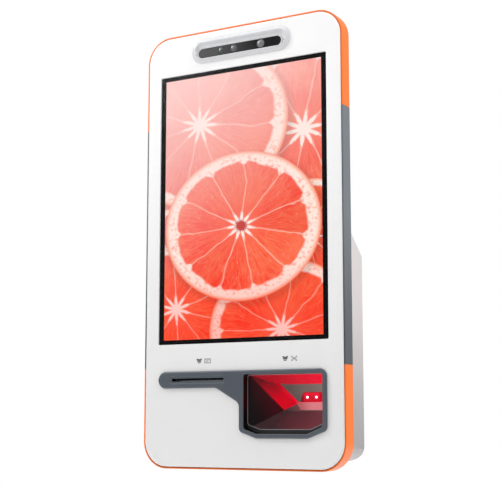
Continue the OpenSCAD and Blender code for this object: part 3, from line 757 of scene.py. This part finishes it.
def slice_group():
    """A node group that draws one cut citrus slice, in metres on the screen.

    It returns the slice's colour and its mask. Radii are those of the rind's outer edge.
    """
    group = bpy.data.node_groups.new("citrus_slice", "ShaderNodeTree")
    face = group.interface
    for label in ("X", "Z", "Centre X", "Centre Z", "Radius X", "Radius Z",
                  "Turn", "Segments", "Warmth", "Core"):
        face.new_socket(label, in_out="INPUT", socket_type="NodeSocketFloat")
    face.new_socket("Colour", in_out="OUTPUT", socket_type="NodeSocketColor")
    face.new_socket("Mask", in_out="OUTPUT", socket_type="NodeSocketFloat")
    m = Nodes.__new__(Nodes)
    m.tree = group
    given = {socket.name: Value(m, socket) for socket in group.nodes.new("NodeGroupInput").outputs}
    result = group.nodes.new("NodeGroupOutput").inputs
    turn, warmth, has_core = given["Turn"], given["Warmth"], given["Core"]
    x = (given["X"] - given["Centre X"]) / given["Radius X"]
    z = (given["Z"] - given["Centre Z"]) / given["Radius Z"]
    m.place = m.join(x, z, turn)
    radius = m.math("SQRT", x * x + z * z)
    wobble = m.step(m.noise(2.6, 3.0), 0.0, 1.0, -0.05, 0.05)
    angle = m.math("ARCTAN2", z, x) + (turn + wobble * 1.8)
    sector = (angle / (2 * math.pi) + 2.0) * given["Segments"]
    from_wall = 0.5 - m.math("ABSOLUTE", m.math("FRACT", sector) - 0.5)
    wall_gap = from_wall * (2 * math.pi) / given["Segments"] * radius
    number = m.math("FLOOR", sector)

    # juice sacs: long cells that point outwards from the centre, with wet glints on them
    sac_edge = m.cells(1.5, m.join(sector * 2.2, radius * 2.0, number), "DISTANCE_TO_EDGE")
    streaks = m.noise(5.0, 5.0, m.join(sector * 2.4, radius * 0.9, number), 0.65)
    deep = m.mix(warmth, rgb(244, 74, 56), rgb(255, 50, 18))
    light = m.mix(warmth, rgb(255, 136, 112), rgb(255, 112, 64))
    flesh = m.mix(m.step(streaks * 0.6 + m.noise(2.2, 2.0) * 0.4, 0.36, 0.64), deep, light)
    flesh = m.mix(m.step(sac_edge, 0.0, 0.05, 0.28, 0.0), flesh, rgb(255, 148, 112))
    glints = m.noise(15.0, 2.0, m.join(sector * 2.0, radius, number))
    flesh = m.mix(m.step(glints, 0.66, 0.74, 0.0, 0.75), flesh, rgb(255, 206, 190))
    tone = m.noise(1.0, 1.0, m.join(number, 4.0, turn))
    flesh = m.mix(m.step(tone, 0.35, 0.65, 0.0, 0.35), flesh, rgb(226, 36, 22))
    flesh = m.mix(m.step(radius, 0.08, 0.5, 0.5, 0.0), flesh, rgb(252, 104, 74))

    # pale walls between the segments, and the round pale skin outside them
    flesh = m.mix(m.step(wall_gap, 0.003, 0.013, 1.0, 0.0) * 0.52, flesh, rgb(255, 206, 188))
    corner = radius + m.step(wall_gap, 0.0, 0.07, 0.05, 0.0)
    pith = m.step(corner + wobble, 0.83, 0.87)
    speckle = m.step(m.noise(24.0, 3.0), 0.5, 0.68)
    pulp = m.mix(pith, flesh, m.mix(speckle, rgb(255, 232, 220), rgb(255, 176, 156)))
    pores = m.step(m.cells(34.0), 0.0, 0.5, 0.85, 1.05)
    skin = m.shade(m.mix(m.step(radius, 0.955, 1.0), rgb(255, 204, 184), rgb(252, 132, 100)), pores)
    whole = m.mix(m.step(radius, 0.935, 0.965), pulp, skin)

    # the star at the centre: torn white fibres round a core
    ragged = m.noise(3.5, 3.0, m.join(sector * 2.6, radius * 6.0, turn), 0.7)
    spikes = m.math("ABSOLUTE", m.math("COSINE", sector * math.pi)) ** 2.5
    inside = radius - (spikes * ragged * (0.26 - has_core * 0.05) + 0.07)
    whole = m.mix(m.step(inside, 0.0, 0.07, 0.6, 0.0), whole, rgb(255, 190, 172))
    whole = m.mix(m.step(inside, -0.012, 0.02, 0.92, 0.0), whole, rgb(255, 240, 232))
    core = radius - m.step(ragged, 0.3, 0.7, 0.05, 0.1)
    whole = m.mix(m.step(core, -0.01, 0.01, 1.0, 0.0) * has_core, whole, rgb(196, 44, 36))
    m.put(result["Colour"], whole)
    m.put(result["Mask"], m.step(radius, 0.992, 1.004, 1.0, 0.0))
    return group


# the slices from the back to the front: centre x and z from the screen's centre and radii, in mm, then the
# turn, the number of segments, the warmth and whether the core is red
SLICES = [
    (105, 98, 150, 128, 0.5, 10, 0.35, 0), (-72, 125, 152, 128, 0.1, 11, 0.1, 0),
    (-128, -62, 70, 62, 1.1, 9, 0.6, 0), (112, -60, 96, 84, 2.0, 10, 0.9, 0),
    (-112, -155, 118, 100, 0.9, 10, 1.0, 0), (68, -191, 122, 102, 0.3, 11, 1.0, 0),
    (0, -36, 133, 112, 0.22, 11, 0.75, 1)]


# the lit face is drawn in quarters, so that each one's material holds only the slices that reach into it:
# number, and the limits in mm across and up from the screen's centre
LEFT_HALF, RIGHT_HALF = (-LIT_W / 2, 0), (0, LIT_W / 2)
UPPER_PART, LOWER_PART = (-36, LIT_H / 2), (-LIT_H / 2, -36)
QUARTERS = [
    (0, LEFT_HALF, UPPER_PART), (1, RIGHT_HALF, UPPER_PART),
    (2, LEFT_HALF, LOWER_PART), (3, RIGHT_HALF, LOWER_PART)]


def display_picture(name, across, up):
    """The idle picture: cut citrus slices lying over each other, washed paler towards the top left."""
    m = Nodes(name, 0.1)
    x, _, height = m.split(m.place)
    z = height - SCREEN_Z * MM
    group = bpy.data.node_groups.get("citrus_slice") or slice_group()
    picture = m.mix(m.step(m.noise(30.0), 0.3, 0.7), rgb(238, 82, 58), rgb(250, 116, 84))
    for cx, cz, rx, rz, turn, segments, warmth, core in SLICES:
        beside = cx - 1.15 * rx > across[1] or cx + 1.15 * rx < across[0]
        if beside or cz - 1.15 * rz > up[1] or cz + 1.15 * rz < up[0]:
            continue
        across_shadow = (x - (cx + 3) * MM) / (rx * MM)
        up_shadow = (z - (cz - 5) * MM) / (rz * MM)
        from_shadow = m.math("SQRT", across_shadow ** 2.0 + up_shadow ** 2.0)
        picture = m.shade(picture, m.step(from_shadow, 0.98, 1.09, 0.72, 1.0))
        values = (x, z, cx * MM, cz * MM, rx * MM, rz * MM, turn, float(segments), warmth, float(core))
        node = m.tree.nodes.new("ShaderNodeGroup")
        node.node_tree = group
        for socket, value in zip(node.inputs, values):
            m.put(socket, value)
        picture = m.mix(Value(m, node.outputs["Mask"]), picture, Value(m, node.outputs["Colour"]))
    picture = m.mix(m.step(m.cells(120.0), 0.03, 0.06, 0.35, 0.0), picture, rgb(255, 205, 190))
    picture = m.mix(m.step(z, -0.2, -0.06, 0.4, 0.0), picture, rgb(255, 40, 10))
    picture = m.mix(m.step(z * 2.6 + x * -1.5, -0.25, 0.85, 0.0, 0.78), picture, rgb(255, 228, 225))
    m.colour((0.01, 0.01, 0.01, 1.0))
    m.glow(picture, 1.16)
    m.rough(m.step(m.math("SINE", z * 9000.0), -1.0, 1.0, 0.4, 0.5))
    return m.material


def make_display():
    """The lit screen: a flat panel with the picture on its face and a pressed metal back."""
    shell = Shell()
    low, high = SCREEN_LOW, SCREEN_HIGH
    lit = centred_box(0.0, SCREEN_Z, LIT_W, LIT_H, 0.0)
    body = box_corners(low.x, low.z, high.x, high.z, 1.5)
    front = low.y
    _, lit_high = shell.wall(lit, [(0.0, front + 0.05), (0.1, front)], 2)
    for number, across, up in QUARTERS:
        corners = [(x, front + 0.05, SCREEN_Z + z) for x, z in (
            (across[0], up[0]), (across[1], up[0]), (across[1], up[1]), (across[0], up[1]))]
        shell.bm.faces.new([shell.bm.verts.new(corner) for corner in corners]).material_index = 1 + number
    step_out, step_end = shell.wall(body, [(0.0, front), (0.0, front + 6), (-4, front + 6.5),
                                           (-4, high.y)], 4)
    shell.cap(step_out, [lit_high])
    shell.cap(step_end)
    names = ["panel_back", *(f"picture_{number}" for number, _, _ in QUARTERS)]
    shell.finish("display_module", names, "display_panel", weighted=False)


# ---------------------------------------------------------------- the scanner's cavity


def lit_wall(name, dim, bright, start, end):
    """Black plastic with painted red light from the scanner's lamps: an emitted glow that goes from dim to
    bright between two points.
    """
    m = Nodes(name, 0.3)
    start, end = Vector(start) * MM, Vector(end) * MM
    way = end - start
    dot = m.add("VectorMath", {0: m.place, 1: way / way.length_squared}, "Value", operation="DOT_PRODUCT")
    blotch = m.step(m.noise(45.0, 2.0), 0.2, 0.8, -0.07, 0.07)
    glow = m.mix(m.step(dot - start.dot(way) / way.length_squared + blotch, 0.0, 1.0), dim, bright)
    m.colour(m.shade((0.004, 0.003, 0.003, 1.0), m.step(m.noise(60.0), 0.3, 0.7, 0.85, 1.0)))
    m.glow(glow, 1.0)
    m.rough(m.step(m.noise(150.0), 0.3, 0.7, 0.5, 0.6))
    m.bump(m.noise(1500.0), 0.00002)
    return m.material


def make_scanner_hood():
    """The dark funnel behind the glass, and the box round it.

    The inner walls are separate facets: a dark left wall, a slanted reflector, a sloping ceiling and floor.
    """
    low, high = HOOD_LOW, HOOD_HIGH
    mouth = FRONT_Y + 14
    rear = high.y - 2
    deep = FRONT_Y + 61
    left, right = 8, 133
    bm = bmesh.new()

    def vert(x, y, z):
        return bm.verts.new((x, y, z))

    corner = vert(left, mouth, -25)
    left_low = vert(left, mouth, -101)
    bottom_left = vert(29, mouth, -108.5)
    bottom_right = vert(110, mouth, -108.5)
    right_low = vert(right, mouth, -99)
    right_top = vert(right, mouth, -25)
    knee = vert(40, deep, -75)
    bend = vert(24, deep, -36)
    strip = vert(31, deep + 3, -36)
    seam = vert(61, deep, -66.5)
    seam_back = vert(66, deep + 3, -66.5)
    back_floor = vert(66, rear, -76)
    floor_left = vert(44, deep + 2, -77)
    back_right = vert(right - 2, rear, -76)
    back_top_right = vert(right - 2, rear, -37)
    back_top = vert(36, rear, -37)
    # each facet's material carries painted red light from the scanner's lamps, brighter nearer them
    facets = [
        ((corner, left_low, knee), 0), ((corner, knee, seam, bend), 1), ((corner, bend, strip, right_top), 2),
        ((strip, back_top, back_top_right, right_top), 2), ((bend, seam, seam_back, strip), 3),
        ((strip, seam_back, back_floor, back_top), 4),
        ((back_top, back_floor, back_right, back_top_right), 4),
        ((knee, floor_left, back_floor, seam_back, seam), 6), ((left_low, bottom_left, floor_left, knee), 5),
        ((bottom_left, bottom_right, back_right, back_floor, floor_left), 5),
        ((bottom_right, right_low, back_right), 5), ((right_low, right_top, back_top_right, back_right), 0)]
    for corners, material in facets:
        bm.faces.new(corners).material_index = material
    rim = [corner, right_top, right_low, bottom_right, bottom_left, left_low]
    box = ((low.x, high.z), (high.x, high.z), (high.x, low.z), (low.x, low.z))
    front, back = [[vert(x, y, z) for x, z in box] for y in (mouth, high.y)]
    fill(bm, front, [rim], 7)
    join_rings(bm, front, back, 7)
    bm.faces.new(back).material_index = 7
    bmesh.ops.recalc_face_normals(bm, faces=bm.faces)
    names = ("wall_dark", "reflector", "ceiling", "strip", "wall_back", "cavity_floor", "ledge", "hood")
    finish_mesh(bm, "scanner_funnel", names, 10.0, "scanner_hood", weighted=False)


def prism(bm, outline, depth_low, depth_high, material=0, inset=0.0):
    """A solid from an (x, z) outline between two depths; inset narrows its front."""
    cx = sum(p[0] for p in outline) / len(outline)
    cz = sum(p[1] for p in outline) / len(outline)
    front = [bm.verts.new((x + (cx - x) * inset, depth_low, z + (cz - z) * inset)) for x, z in outline]
    back = [bm.verts.new((x, depth_high, z)) for x, z in outline]
    for ring in (front, back):
        bm.faces.new(ring).material_index = material
    join_rings(bm, front, back, material)


def make_scan_engine():
    """Scan engine: a hooded head with an imager window, on a boat-shaped shelf, red and pale from painted
    lamp light.
    """
    low, high = span("scan_engine")
    cx = (low.x + high.x) / 2
    half = (high.x - low.x) / 2
    shelf_top = low.z + 11
    face_low, face_high = shelf_top + 1.5, high.z - 1.5
    bm = bmesh.new()

    def tapered(half_low, z_low, half_high, z_high, near, far, material, inset=0.0):
        """A solid that is symmetric about the engine's middle, with half widths at two heights."""
        prism(bm, [(cx - half_low, z_low), (cx + half_low, z_low),
                   (cx + half_high, z_high), (cx - half_high, z_high)], near, far, material, inset)

    tapered(half - 7, low.z, half, shelf_top, low.y, high.y, 0, 0.03)
    tapered(half - 4, shelf_top, half - 8, high.z, low.y + 4, high.y, 1, 0.08)
    tapered(14, face_low, 12.5, face_high, low.y + 2.6, low.y + 4.4, 2, 0.04)
    tapered(2, face_low + 3.5, 2, face_low + 7, low.y + 2.0, low.y + 3.0, 3)
    tapered(half - 1, shelf_top - 0.4, half - 1, shelf_top + 0.8, low.y + 0.5, low.y + 3, 4)
    bmesh.ops.recalc_face_normals(bm, faces=bm.faces)
    names = ("shelf_lit", "engine_side", "engine_face", "engine_side", "engine_rim")
    finish_mesh(bm, "scan_head", names, 20.0, "scan_engine", bevel=0.3, weighted=False)


def make_scan_lamps():
    """Two domed lamps, each in a cupped reflector."""
    low, high = LAMP_LOW, LAMP_HIGH
    cz = (low.z + high.z) / 2
    radius = (high.z - low.z) / 2
    shell = Shell()
    for cx in (low.x + radius, high.x - radius):
        dome = [(SHARP, 0.0)] + [(radius * 0.48 * math.sin(a), 0.9 * (1 - math.cos(a)))
                                for a in (0.4, 0.8, 1.2, 1.57)]
        shell.turned((cx, low.y + 0.3, cz), dome + [(radius * 0.48, 2.4)], 32, 0)
        # the cup carries painted red lamp light, as the engine's rim does
        cup = [(radius * 0.5, 2.0), (radius * 0.95, 0.6), (radius, 0.8), (radius, 3.0)]
        shell.turned((cx, low.y + 0.3, cz), cup, 32, 1)
    shell.finish("lamp_pair", ["lamp", "engine_rim"], "scan_lamps")


def make_scanner_glass():
    """Clear pane with its ground edge catching the light."""
    shell = Shell()
    low, high = SCAN_LOW.y, SCAN_HIGH.y
    corners = scanner_corners(-0.4)
    lifted = [(x, z + (5.6 if z < -90 else 0.0), r) for x, z, r in corners]
    back, front = shell.wall(lifted, [(0.0, high), (0.0, low + 0.3), (-0.3, low)], 6)
    shell.cap(front)
    shell.cap(back)
    shell.finish("scanner_pane", ["scan_glass"], "scanner_glass")
    edge = Shell()
    outer_a, outer_b = edge.wall(lifted, [(0.35, low - 0.1), (0.35, low + 0.6)], 6)
    inner_a, inner_b = edge.wall(lifted, [(-0.55, low - 0.1), (-0.35, low + 0.6)], 6)
    edge.cap(outer_a, [inner_a])
    edge.cap(outer_b, [inner_b])
    edge.finish("scanner_pane_edge", ["glass_edge"], slot="scan_glass", weighted=False)
    sill = Shell()
    sill_out, sill_out_end = sill.wall(corners, [(0.4, low + 0.1), (0.4, high)], 6)
    sill_in, sill_in_end = sill.wall(lifted, [(0.1, low + 0.1), (0.1, high)], 6)
    sill.cap(sill_out, [sill_in])
    sill.cap(sill_out_end, [sill_in_end])
    sill.finish("scanner_sill", ["hood"], slot="hood_black", weighted=False)


# ---------------------------------------------------------------- marks on the panel


def add_marks():
    """Small pictograms over the slot and the scanner, as thin inlays: arrows down, a receipt and a code."""
    z = -3.4
    thin = (FRONT_Y - 0.12, FRONT_Y + 0.3)

    def bar(x0, z0, x1, z1):
        x0, x1 = sorted((x0, x1))
        z0, z1 = sorted((z0, z1))
        prism(bm, [(x0, z0), (x1, z0), (x1, z1), (x0, z1)], *thin)

    def chevrons(cx):
        for row, half in enumerate((4.4, 3.7, 2.9)):
            top, rise, thick = z + 3.8 - 2.4 * row, 1.3, 1.9 - 0.4 * row
            prism(bm, [(cx - half, top), (cx, top - rise), (cx + half, top), (cx + half, top - thick),
                       (cx, top - rise - thick), (cx - half, top - thick)], *thin)

    def finish(name):
        bmesh.ops.recalc_face_normals(bm, faces=bm.faces)
        finish_mesh(bm, name, ["ink"], 20.0, weighted=False)

    bm = bmesh.new()
    chevrons(-69.4)
    cx, w, h, t = -55.0, 5.2, 3.3, 0.8
    bar(cx - w, z + h - t, cx + w, z + h)
    bar(cx - w, z - h, cx - w + t, z + h - t)
    bar(cx + w - t, z - h, cx + w, z + h - t)
    bar(cx - w + t, z - h, cx + w - t, z - h + t)
    bar(cx - w * 0.55, z + 0.9, cx + w * 0.55, z + 1.6)
    bar(cx - w * 0.55, z - 0.9, cx + w * 0.2, z - 0.2)
    finish("print_pictogram")

    bm = bmesh.new()
    chevrons(74.3)
    cx, w, arm, t = 88.6, 4.5, 2.2, 0.7
    for sx in (-1, 1):
        for sz in (-1, 1):
            ex, ez = cx + sx * w, z + sz * 3.4
            bar(ex, ez, ex - sx * arm, ez - sz * t)
            bar(ex, ez - sz * t, ex - sx * t, ez - sz * arm)
    for k, width in enumerate((0.5, 0.9, 0.5, 0.7)):
        x0 = cx - 2.6 + 1.5 * k
        bar(x0, z - 1.9, x0 + width, z + 1.9)
    finish("scan_pictogram")


# ---------------------------------------------------------------- pieces that keep the CAD shape


def soften(node, looks, width, pick=None):
    """A copy of a CAD node with its flat faces merged and its edges rounded, which stands for the node.

    pick takes the middle of a face, in millimetres, and gives the number of its material.
    """
    source = frame["nodes"][node]
    bm = bmesh.new()
    bm.from_mesh(source.data)
    bmesh.ops.remove_doubles(bm, verts=bm.verts, dist=1e-6)
    bmesh.ops.dissolve_limit(bm, angle_limit=math.radians(0.5), verts=bm.verts, edges=bm.edges)
    for face in bm.faces:
        face.material_index = pick(*(face.calc_center_median() / MM)) if pick else 0
    finish_mesh(bm, node + "_shell", looks, 35.0, node, bevel=width, bevel_from=50, unit=1.0)


def dress(node, look):
    """Gives a CAD node a better material."""
    for slot in frame["nodes"][node].material_slots:
        slot.material = LOOKS[look]


# surfaces with painted red lamp light: look, material, dim and bright screen colours, and the points in mm
# between which the glow changes
LIT_WALLS = [
    ("wall_dark", "cavity_wall", (4, 1, 2), (58, 6, 14), (10, 0, -80), (40, 0, -72)),
    ("reflector", "cavity_reflector", (84, 20, 26), (216, 4, 30), (12, 0, -27), (40, 0, -62)),
    ("ceiling", "cavity_ceiling", (150, 22, 34), (250, 4, 46), (8, FRONT_Y, -25), (133, FRONT_Y + 60, -25)),
    ("strip", "cavity_strip", (190, 6, 30), (240, 10, 44), (24, 0, -36), (61, 0, -66)),
    ("wall_back", "cavity_back", (88, 76, 73), (132, 112, 106), (40, 0, -76), (100, 0, -40)),
    ("cavity_floor", "cavity_floor", (52, 36, 39), (100, 46, 54), (24, 0, -100), (110, 0, -80)),
    ("ledge", "cavity_ledge", (60, 48, 48), (116, 70, 72), (40, 0, -76), (66, 0, -70)),
    ("shelf_lit", "engine_shelf", (176, 84, 90), (226, 128, 134), (62, 0, -75), (90, 0, -64)),
    ("engine_side", "engine_side", (110, 6, 18), (190, 10, 30), (64, 0, -60), (80, 0, -50)),
    ("engine_face", "engine_face", (214, 6, 34), (250, 18, 54), (86, 0, -64), (86, 0, -50)),
    ("engine_rim", "engine_rim", (240, 12, 50), (255, 40, 84), (62, 0, -64), (110, 0, -64))]


def make_looks():
    """Every material of the kiosk, by a plain name."""
    looks = {
        # painted shade: the white panel, the orange and slate bands and the housing darken towards the foot,
        # where less light falls
        "white": moulded("panel_white", rgb(238, 237, 236), rough=0.32, depth=0.000012, mottle=0.012,
                         painted_shade=(-0.12, 0.36, 0.85, 1.0)),
        # painted shade: the ring is a grey copy of the panel's white, darker to stand in for the shade in its
        # trough
        "ring": moulded("ring_white", rgb(206, 206, 208), rough=0.26, depth=0.000008, mottle=0.012, coat=0.3),
        "orange": moulded("band_orange", rgb(255, 124, 40), rough=0.34, depth=0.00001, mottle=0.03,
                          painted_shade=(-0.163, -0.125, 0.7, 1.0)),
        "slate": moulded("band_slate", rgb(117, 122, 128), rough=0.4, depth=0.00001, mottle=0.04,
                         painted_shade=(0.0, 0.22, 0.52, 1.0)),
        "slate_bezel": moulded("bezel_slate", rgb(73, 79, 87), rough=0.36, grain=1800.0, mottle=0.05),
        "black": moulded("border_black", rgb(7, 6, 7), rough=0.25, depth=0.000004, specular=0.15),
        "screen_glass": clear("screen_glass", (0.01, 0.01, 0.012, 1.0), 0.08, 0.04, 0.5),
        "dark_window": moulded("dark_window", rgb(10, 10, 12), rough=0.1, depth=0.000002, specular=0.35),
        "scan_glass": clear("scan_glass", (0.03, 0.02, 0.025, 1.0), 0.05, 0.03, 0.25),
        "glass_edge": moulded("glass_edge", rgb(150, 150, 155), rough=0.2, depth=0.000004),
        "panel_back": metal("display_back", (0.5, 0.51, 0.53, 1.0), 0.42),
        "lens_barrel": moulded("lens_barrel", rgb(52, 52, 55), rough=0.35, depth=0.000004),
        "lens_dark": moulded("lens_dark", rgb(12, 22, 20), rough=0.12, depth=0.000002, coat=0.8),
        # painted reflections: the lenses' front elements are opaque green, grey and pale, in place of the
        # light their glass reflects
        "lens_green": moulded("lens_green", rgb(62, 68, 68), rough=0.3, depth=0.000002, coat=0.2),
        "lens_grey": moulded("lens_grey", rgb(84, 86, 90), rough=0.3, depth=0.000002, coat=0.2),
        "lens_pale": moulded("lens_pale", rgb(112, 113, 116), rough=0.35, depth=0.000002, coat=0.2),
        "housing": painted("housing_grey", rgb(216, 209, 209), painted_shade=(-0.15, 0.12, 0.56, 1.0)),
        "back": painted("back_grey", rgb(196, 195, 196), 0.48),
        "zinc": metal("zinc_sheet", (0.62, 0.63, 0.66, 1.0), 0.36, (1.0, 1.0, 1.0), 0.16),
        "ground": metal("ground_steel", (0.72, 0.73, 0.75, 1.0), 0.2, (60.0, 1.0, 1.0)),
        "chrome": metal("plated", (0.78, 0.78, 0.8, 1.0), 0.14, (1.0, 1.0, 1.0)),
        "brass": metal("turned_brass", (0.72, 0.5, 0.2, 1.0), 0.25, (1.0, 40.0, 1.0)),
        "alu": metal("aluminium", (0.68, 0.69, 0.71, 1.0), 0.34, (1.0, 1.0, 30.0)),
        # painted shade: the thermal head is near black metal, so that the receipt slot's throat in front of
        # it stays dark
        "slot_shade_black": metal("thermal_head_shade_black", (0.012, 0.012, 0.013, 1.0), 0.5, (1.0, 1.0, 30.0)),
        "board": circuit_board("circuit_board"),
        "black_plastic": moulded("black_plastic", rgb(34, 34, 37), rough=0.48, depth=0.00002),
        "lid": moulded("lid_grey", rgb(72, 76, 84), rough=0.46, depth=0.00002),
        "nylon": moulded("nylon", rgb(226, 221, 205), rough=0.4, depth=0.00001),
        "button": moulded("button_silver", rgb(205, 206, 210), rough=0.28, depth=0.000006),
        "platen": rubber("platen_rubber", (0.03, 0.03, 0.032, 1.0)),
        "cable": rubber("cable_sheath", (0.02, 0.02, 0.022, 1.0), 0.5),
        "paper": fibrous("receipt_paper", (0.9, 0.9, 0.87, 1.0)),
        "roll": wound_paper("wound_paper", ROLL_Y * MM, ROLL_Z * MM),
        "card": fibrous("core_card", (0.42, 0.29, 0.17, 1.0), 500.0, 0.00008),
        "ink": moulded("mark_ink", rgb(44, 44, 48), rough=0.5, depth=0.000004),
        "hood": moulded("hood_black", rgb(24, 22, 24), rough=0.6, depth=0.00003),
    }
    for number, across, up in QUARTERS:
        looks[f"picture_{number}"] = display_picture(f"lit_display_{number}", across, up)
    for key, name, dim, bright, start, end in LIT_WALLS:
        looks[key] = lit_wall(name, rgb(*dim), rgb(*bright), start, end)
    looks["lamp"] = glowing("lamp_glow", (1.0, 0.82, 0.9, 1.0), 6.0)
    return looks


ROLL_LOW, ROLL_HIGH = span("paper_roll")
ROLL_Y = (ROLL_LOW.y + ROLL_HIGH.y) / 2
ROLL_Z = (ROLL_LOW.z + ROLL_HIGH.z) / 2
DISPLAY_BOARD_BACK = SCREEN_LOW.y + 13.15

# CAD nodes that keep their shape with softened edges: node, look and edge width in mm
SOFTENED = [
    ("rear_housing", "housing", 0.6), ("back_plate", "back", 0.3), ("door_frame", "zinc", 0.25),
    ("printer_frame", "zinc", 0.25), ("head_carrier", "lid", 0.3), ("cutter_housing", "black_plastic", 0.4),
    ("power_supply", "alu", 0.5), ("connector_panel", "black_plastic", 0.25),
    ("data_sockets", "chrome", 0.25),
    ("latch_strike", "zinc", 0.25), ("lock_cam", "zinc", 0.2), ("lock_barrel", "chrome", 0.3),
    ("power_button", "button", 0.35), ("mount_plate", "zinc", 0.25)]

# nodes made of several materials: node, looks, edge width in mm, and which look each face takes by its place
ASSORTED = [
    ("mainboard", ("board", "black_plastic", "zinc"), 0.1,
     lambda x, y, z: 1 if y < -14.05 else 2 if y > -12.35 else 0),
    ("display_board", ("board", "black_plastic"), 0.1, lambda x, y, z: 1 if y > DISPLAY_BOARD_BACK else 0),
    ("camera_board", ("board", "nylon"), 0.1, lambda x, y, z: 1 if y > FRONT_Y + 5.65 else 0),
    ("printer_board", ("board", "black_plastic", "zinc"), 0.1,
     lambda x, y, z: 0 if x < -135.85 else 2 if y > -22 or x > -129 else 1),
    ("power_inlet", ("black_plastic", "brass"), 0.2,
     lambda x, y, z: 1 if -44.1 < y < -39.9 and -142.1 < z < -132.05 and 21 < x < 35 else 0),
    ("speaker", ("black_plastic", "cable"), 0.2, lambda x, y, z: 1 if x < -147.05 and -48 < y < -30 else 0)]

# CAD nodes that keep their mesh and take a better material
DRESSED = {
    "touch_glass": "screen_glass", "screen_border": "black",
    "door_hinge_leaf": "zinc", "door_screws": "zinc", "wall_inserts": "brass", "chassis_hinge_leaf": "zinc",
    "hinge_pins": "ground", "feed_motor": "alu", "heatsink": "alu",
    "dc_lead": "cable", "housing_screws": "zinc", "lock_plug": "chrome", "platen_roller": "platen",
    "platen_shaft": "ground", "platen_gear": "nylon", "motor_pinion": "brass", "paper_roll": "roll",
    "roll_core": "card",
    # the thermal head's near black look is painted shade that keeps the slot's throat dark
    "thermal_head": "slot_shade_black", "head_springs": "ground", "cutter_blade": "ground", "paper_web": "paper"}


def main():
    add_camera()
    add_studio()
    LOOKS.update(make_looks())
    make_front_cover()
    make_band_end("band_orange_top", "band_top", 1)
    make_band_end("band_orange_bottom", "band_bottom", -1)
    make_band_side("band_slate_left", "band_left", -1)
    make_band_side("band_slate_right", "band_right", 1)
    make_display()
    make_camera_ring()
    make_camera_window()
    make_lens("camera_lens_colour", "colour_camera", "lens_green")
    make_lens("camera_lens_infrared", "infrared_camera", "lens_grey")
    make_lens("camera_lens_projector", "depth_projector", "lens_pale")
    make_slot_bezel()
    make_scanner_hood()
    make_scan_engine()
    make_scan_lamps()
    make_scanner_glass()
    add_marks()
    for node, look, width in SOFTENED:
        soften(node, [look], width)
    for node, names, width, pick in ASSORTED:
        soften(node, names, width, pick)
    for node, look in DRESSED.items():
        dress(node, look)
    add_floor()


def add_floor():
    """Plain pale floor, well below the kiosk, which hangs on its wall mount."""
    bm = bmesh.new()
    reach = 12.0
    corners = ((-reach, -reach), (reach, -reach), (reach, reach), (-reach, reach))
    bm.faces.new([bm.verts.new((x, y, FLOOR_Z)) for x, y in corners])
    mesh = bpy.data.meshes.new("floor")
    bm.to_mesh(mesh)
    bm.free()
    floor = bpy.data.objects.new("floor", mesh)
    bpy.context.collection.objects.link(floor)
    m = Nodes("floor_white")
    m.colour(m.shade((0.96, 0.96, 0.96, 1.0), m.step(m.noise(0.4, 2.0), 0.3, 0.7, 0.99, 1.0)))
    m.rough(m.step(m.noise(2.0), 0.3, 0.7, 0.85, 0.95))
    m.set(Emission_Color=(1.0, 1.0, 1.0, 1.0), Emission_Strength=0.3)
    mesh.materials.append(m.material)


main()
bpy.context.view_layer.update()
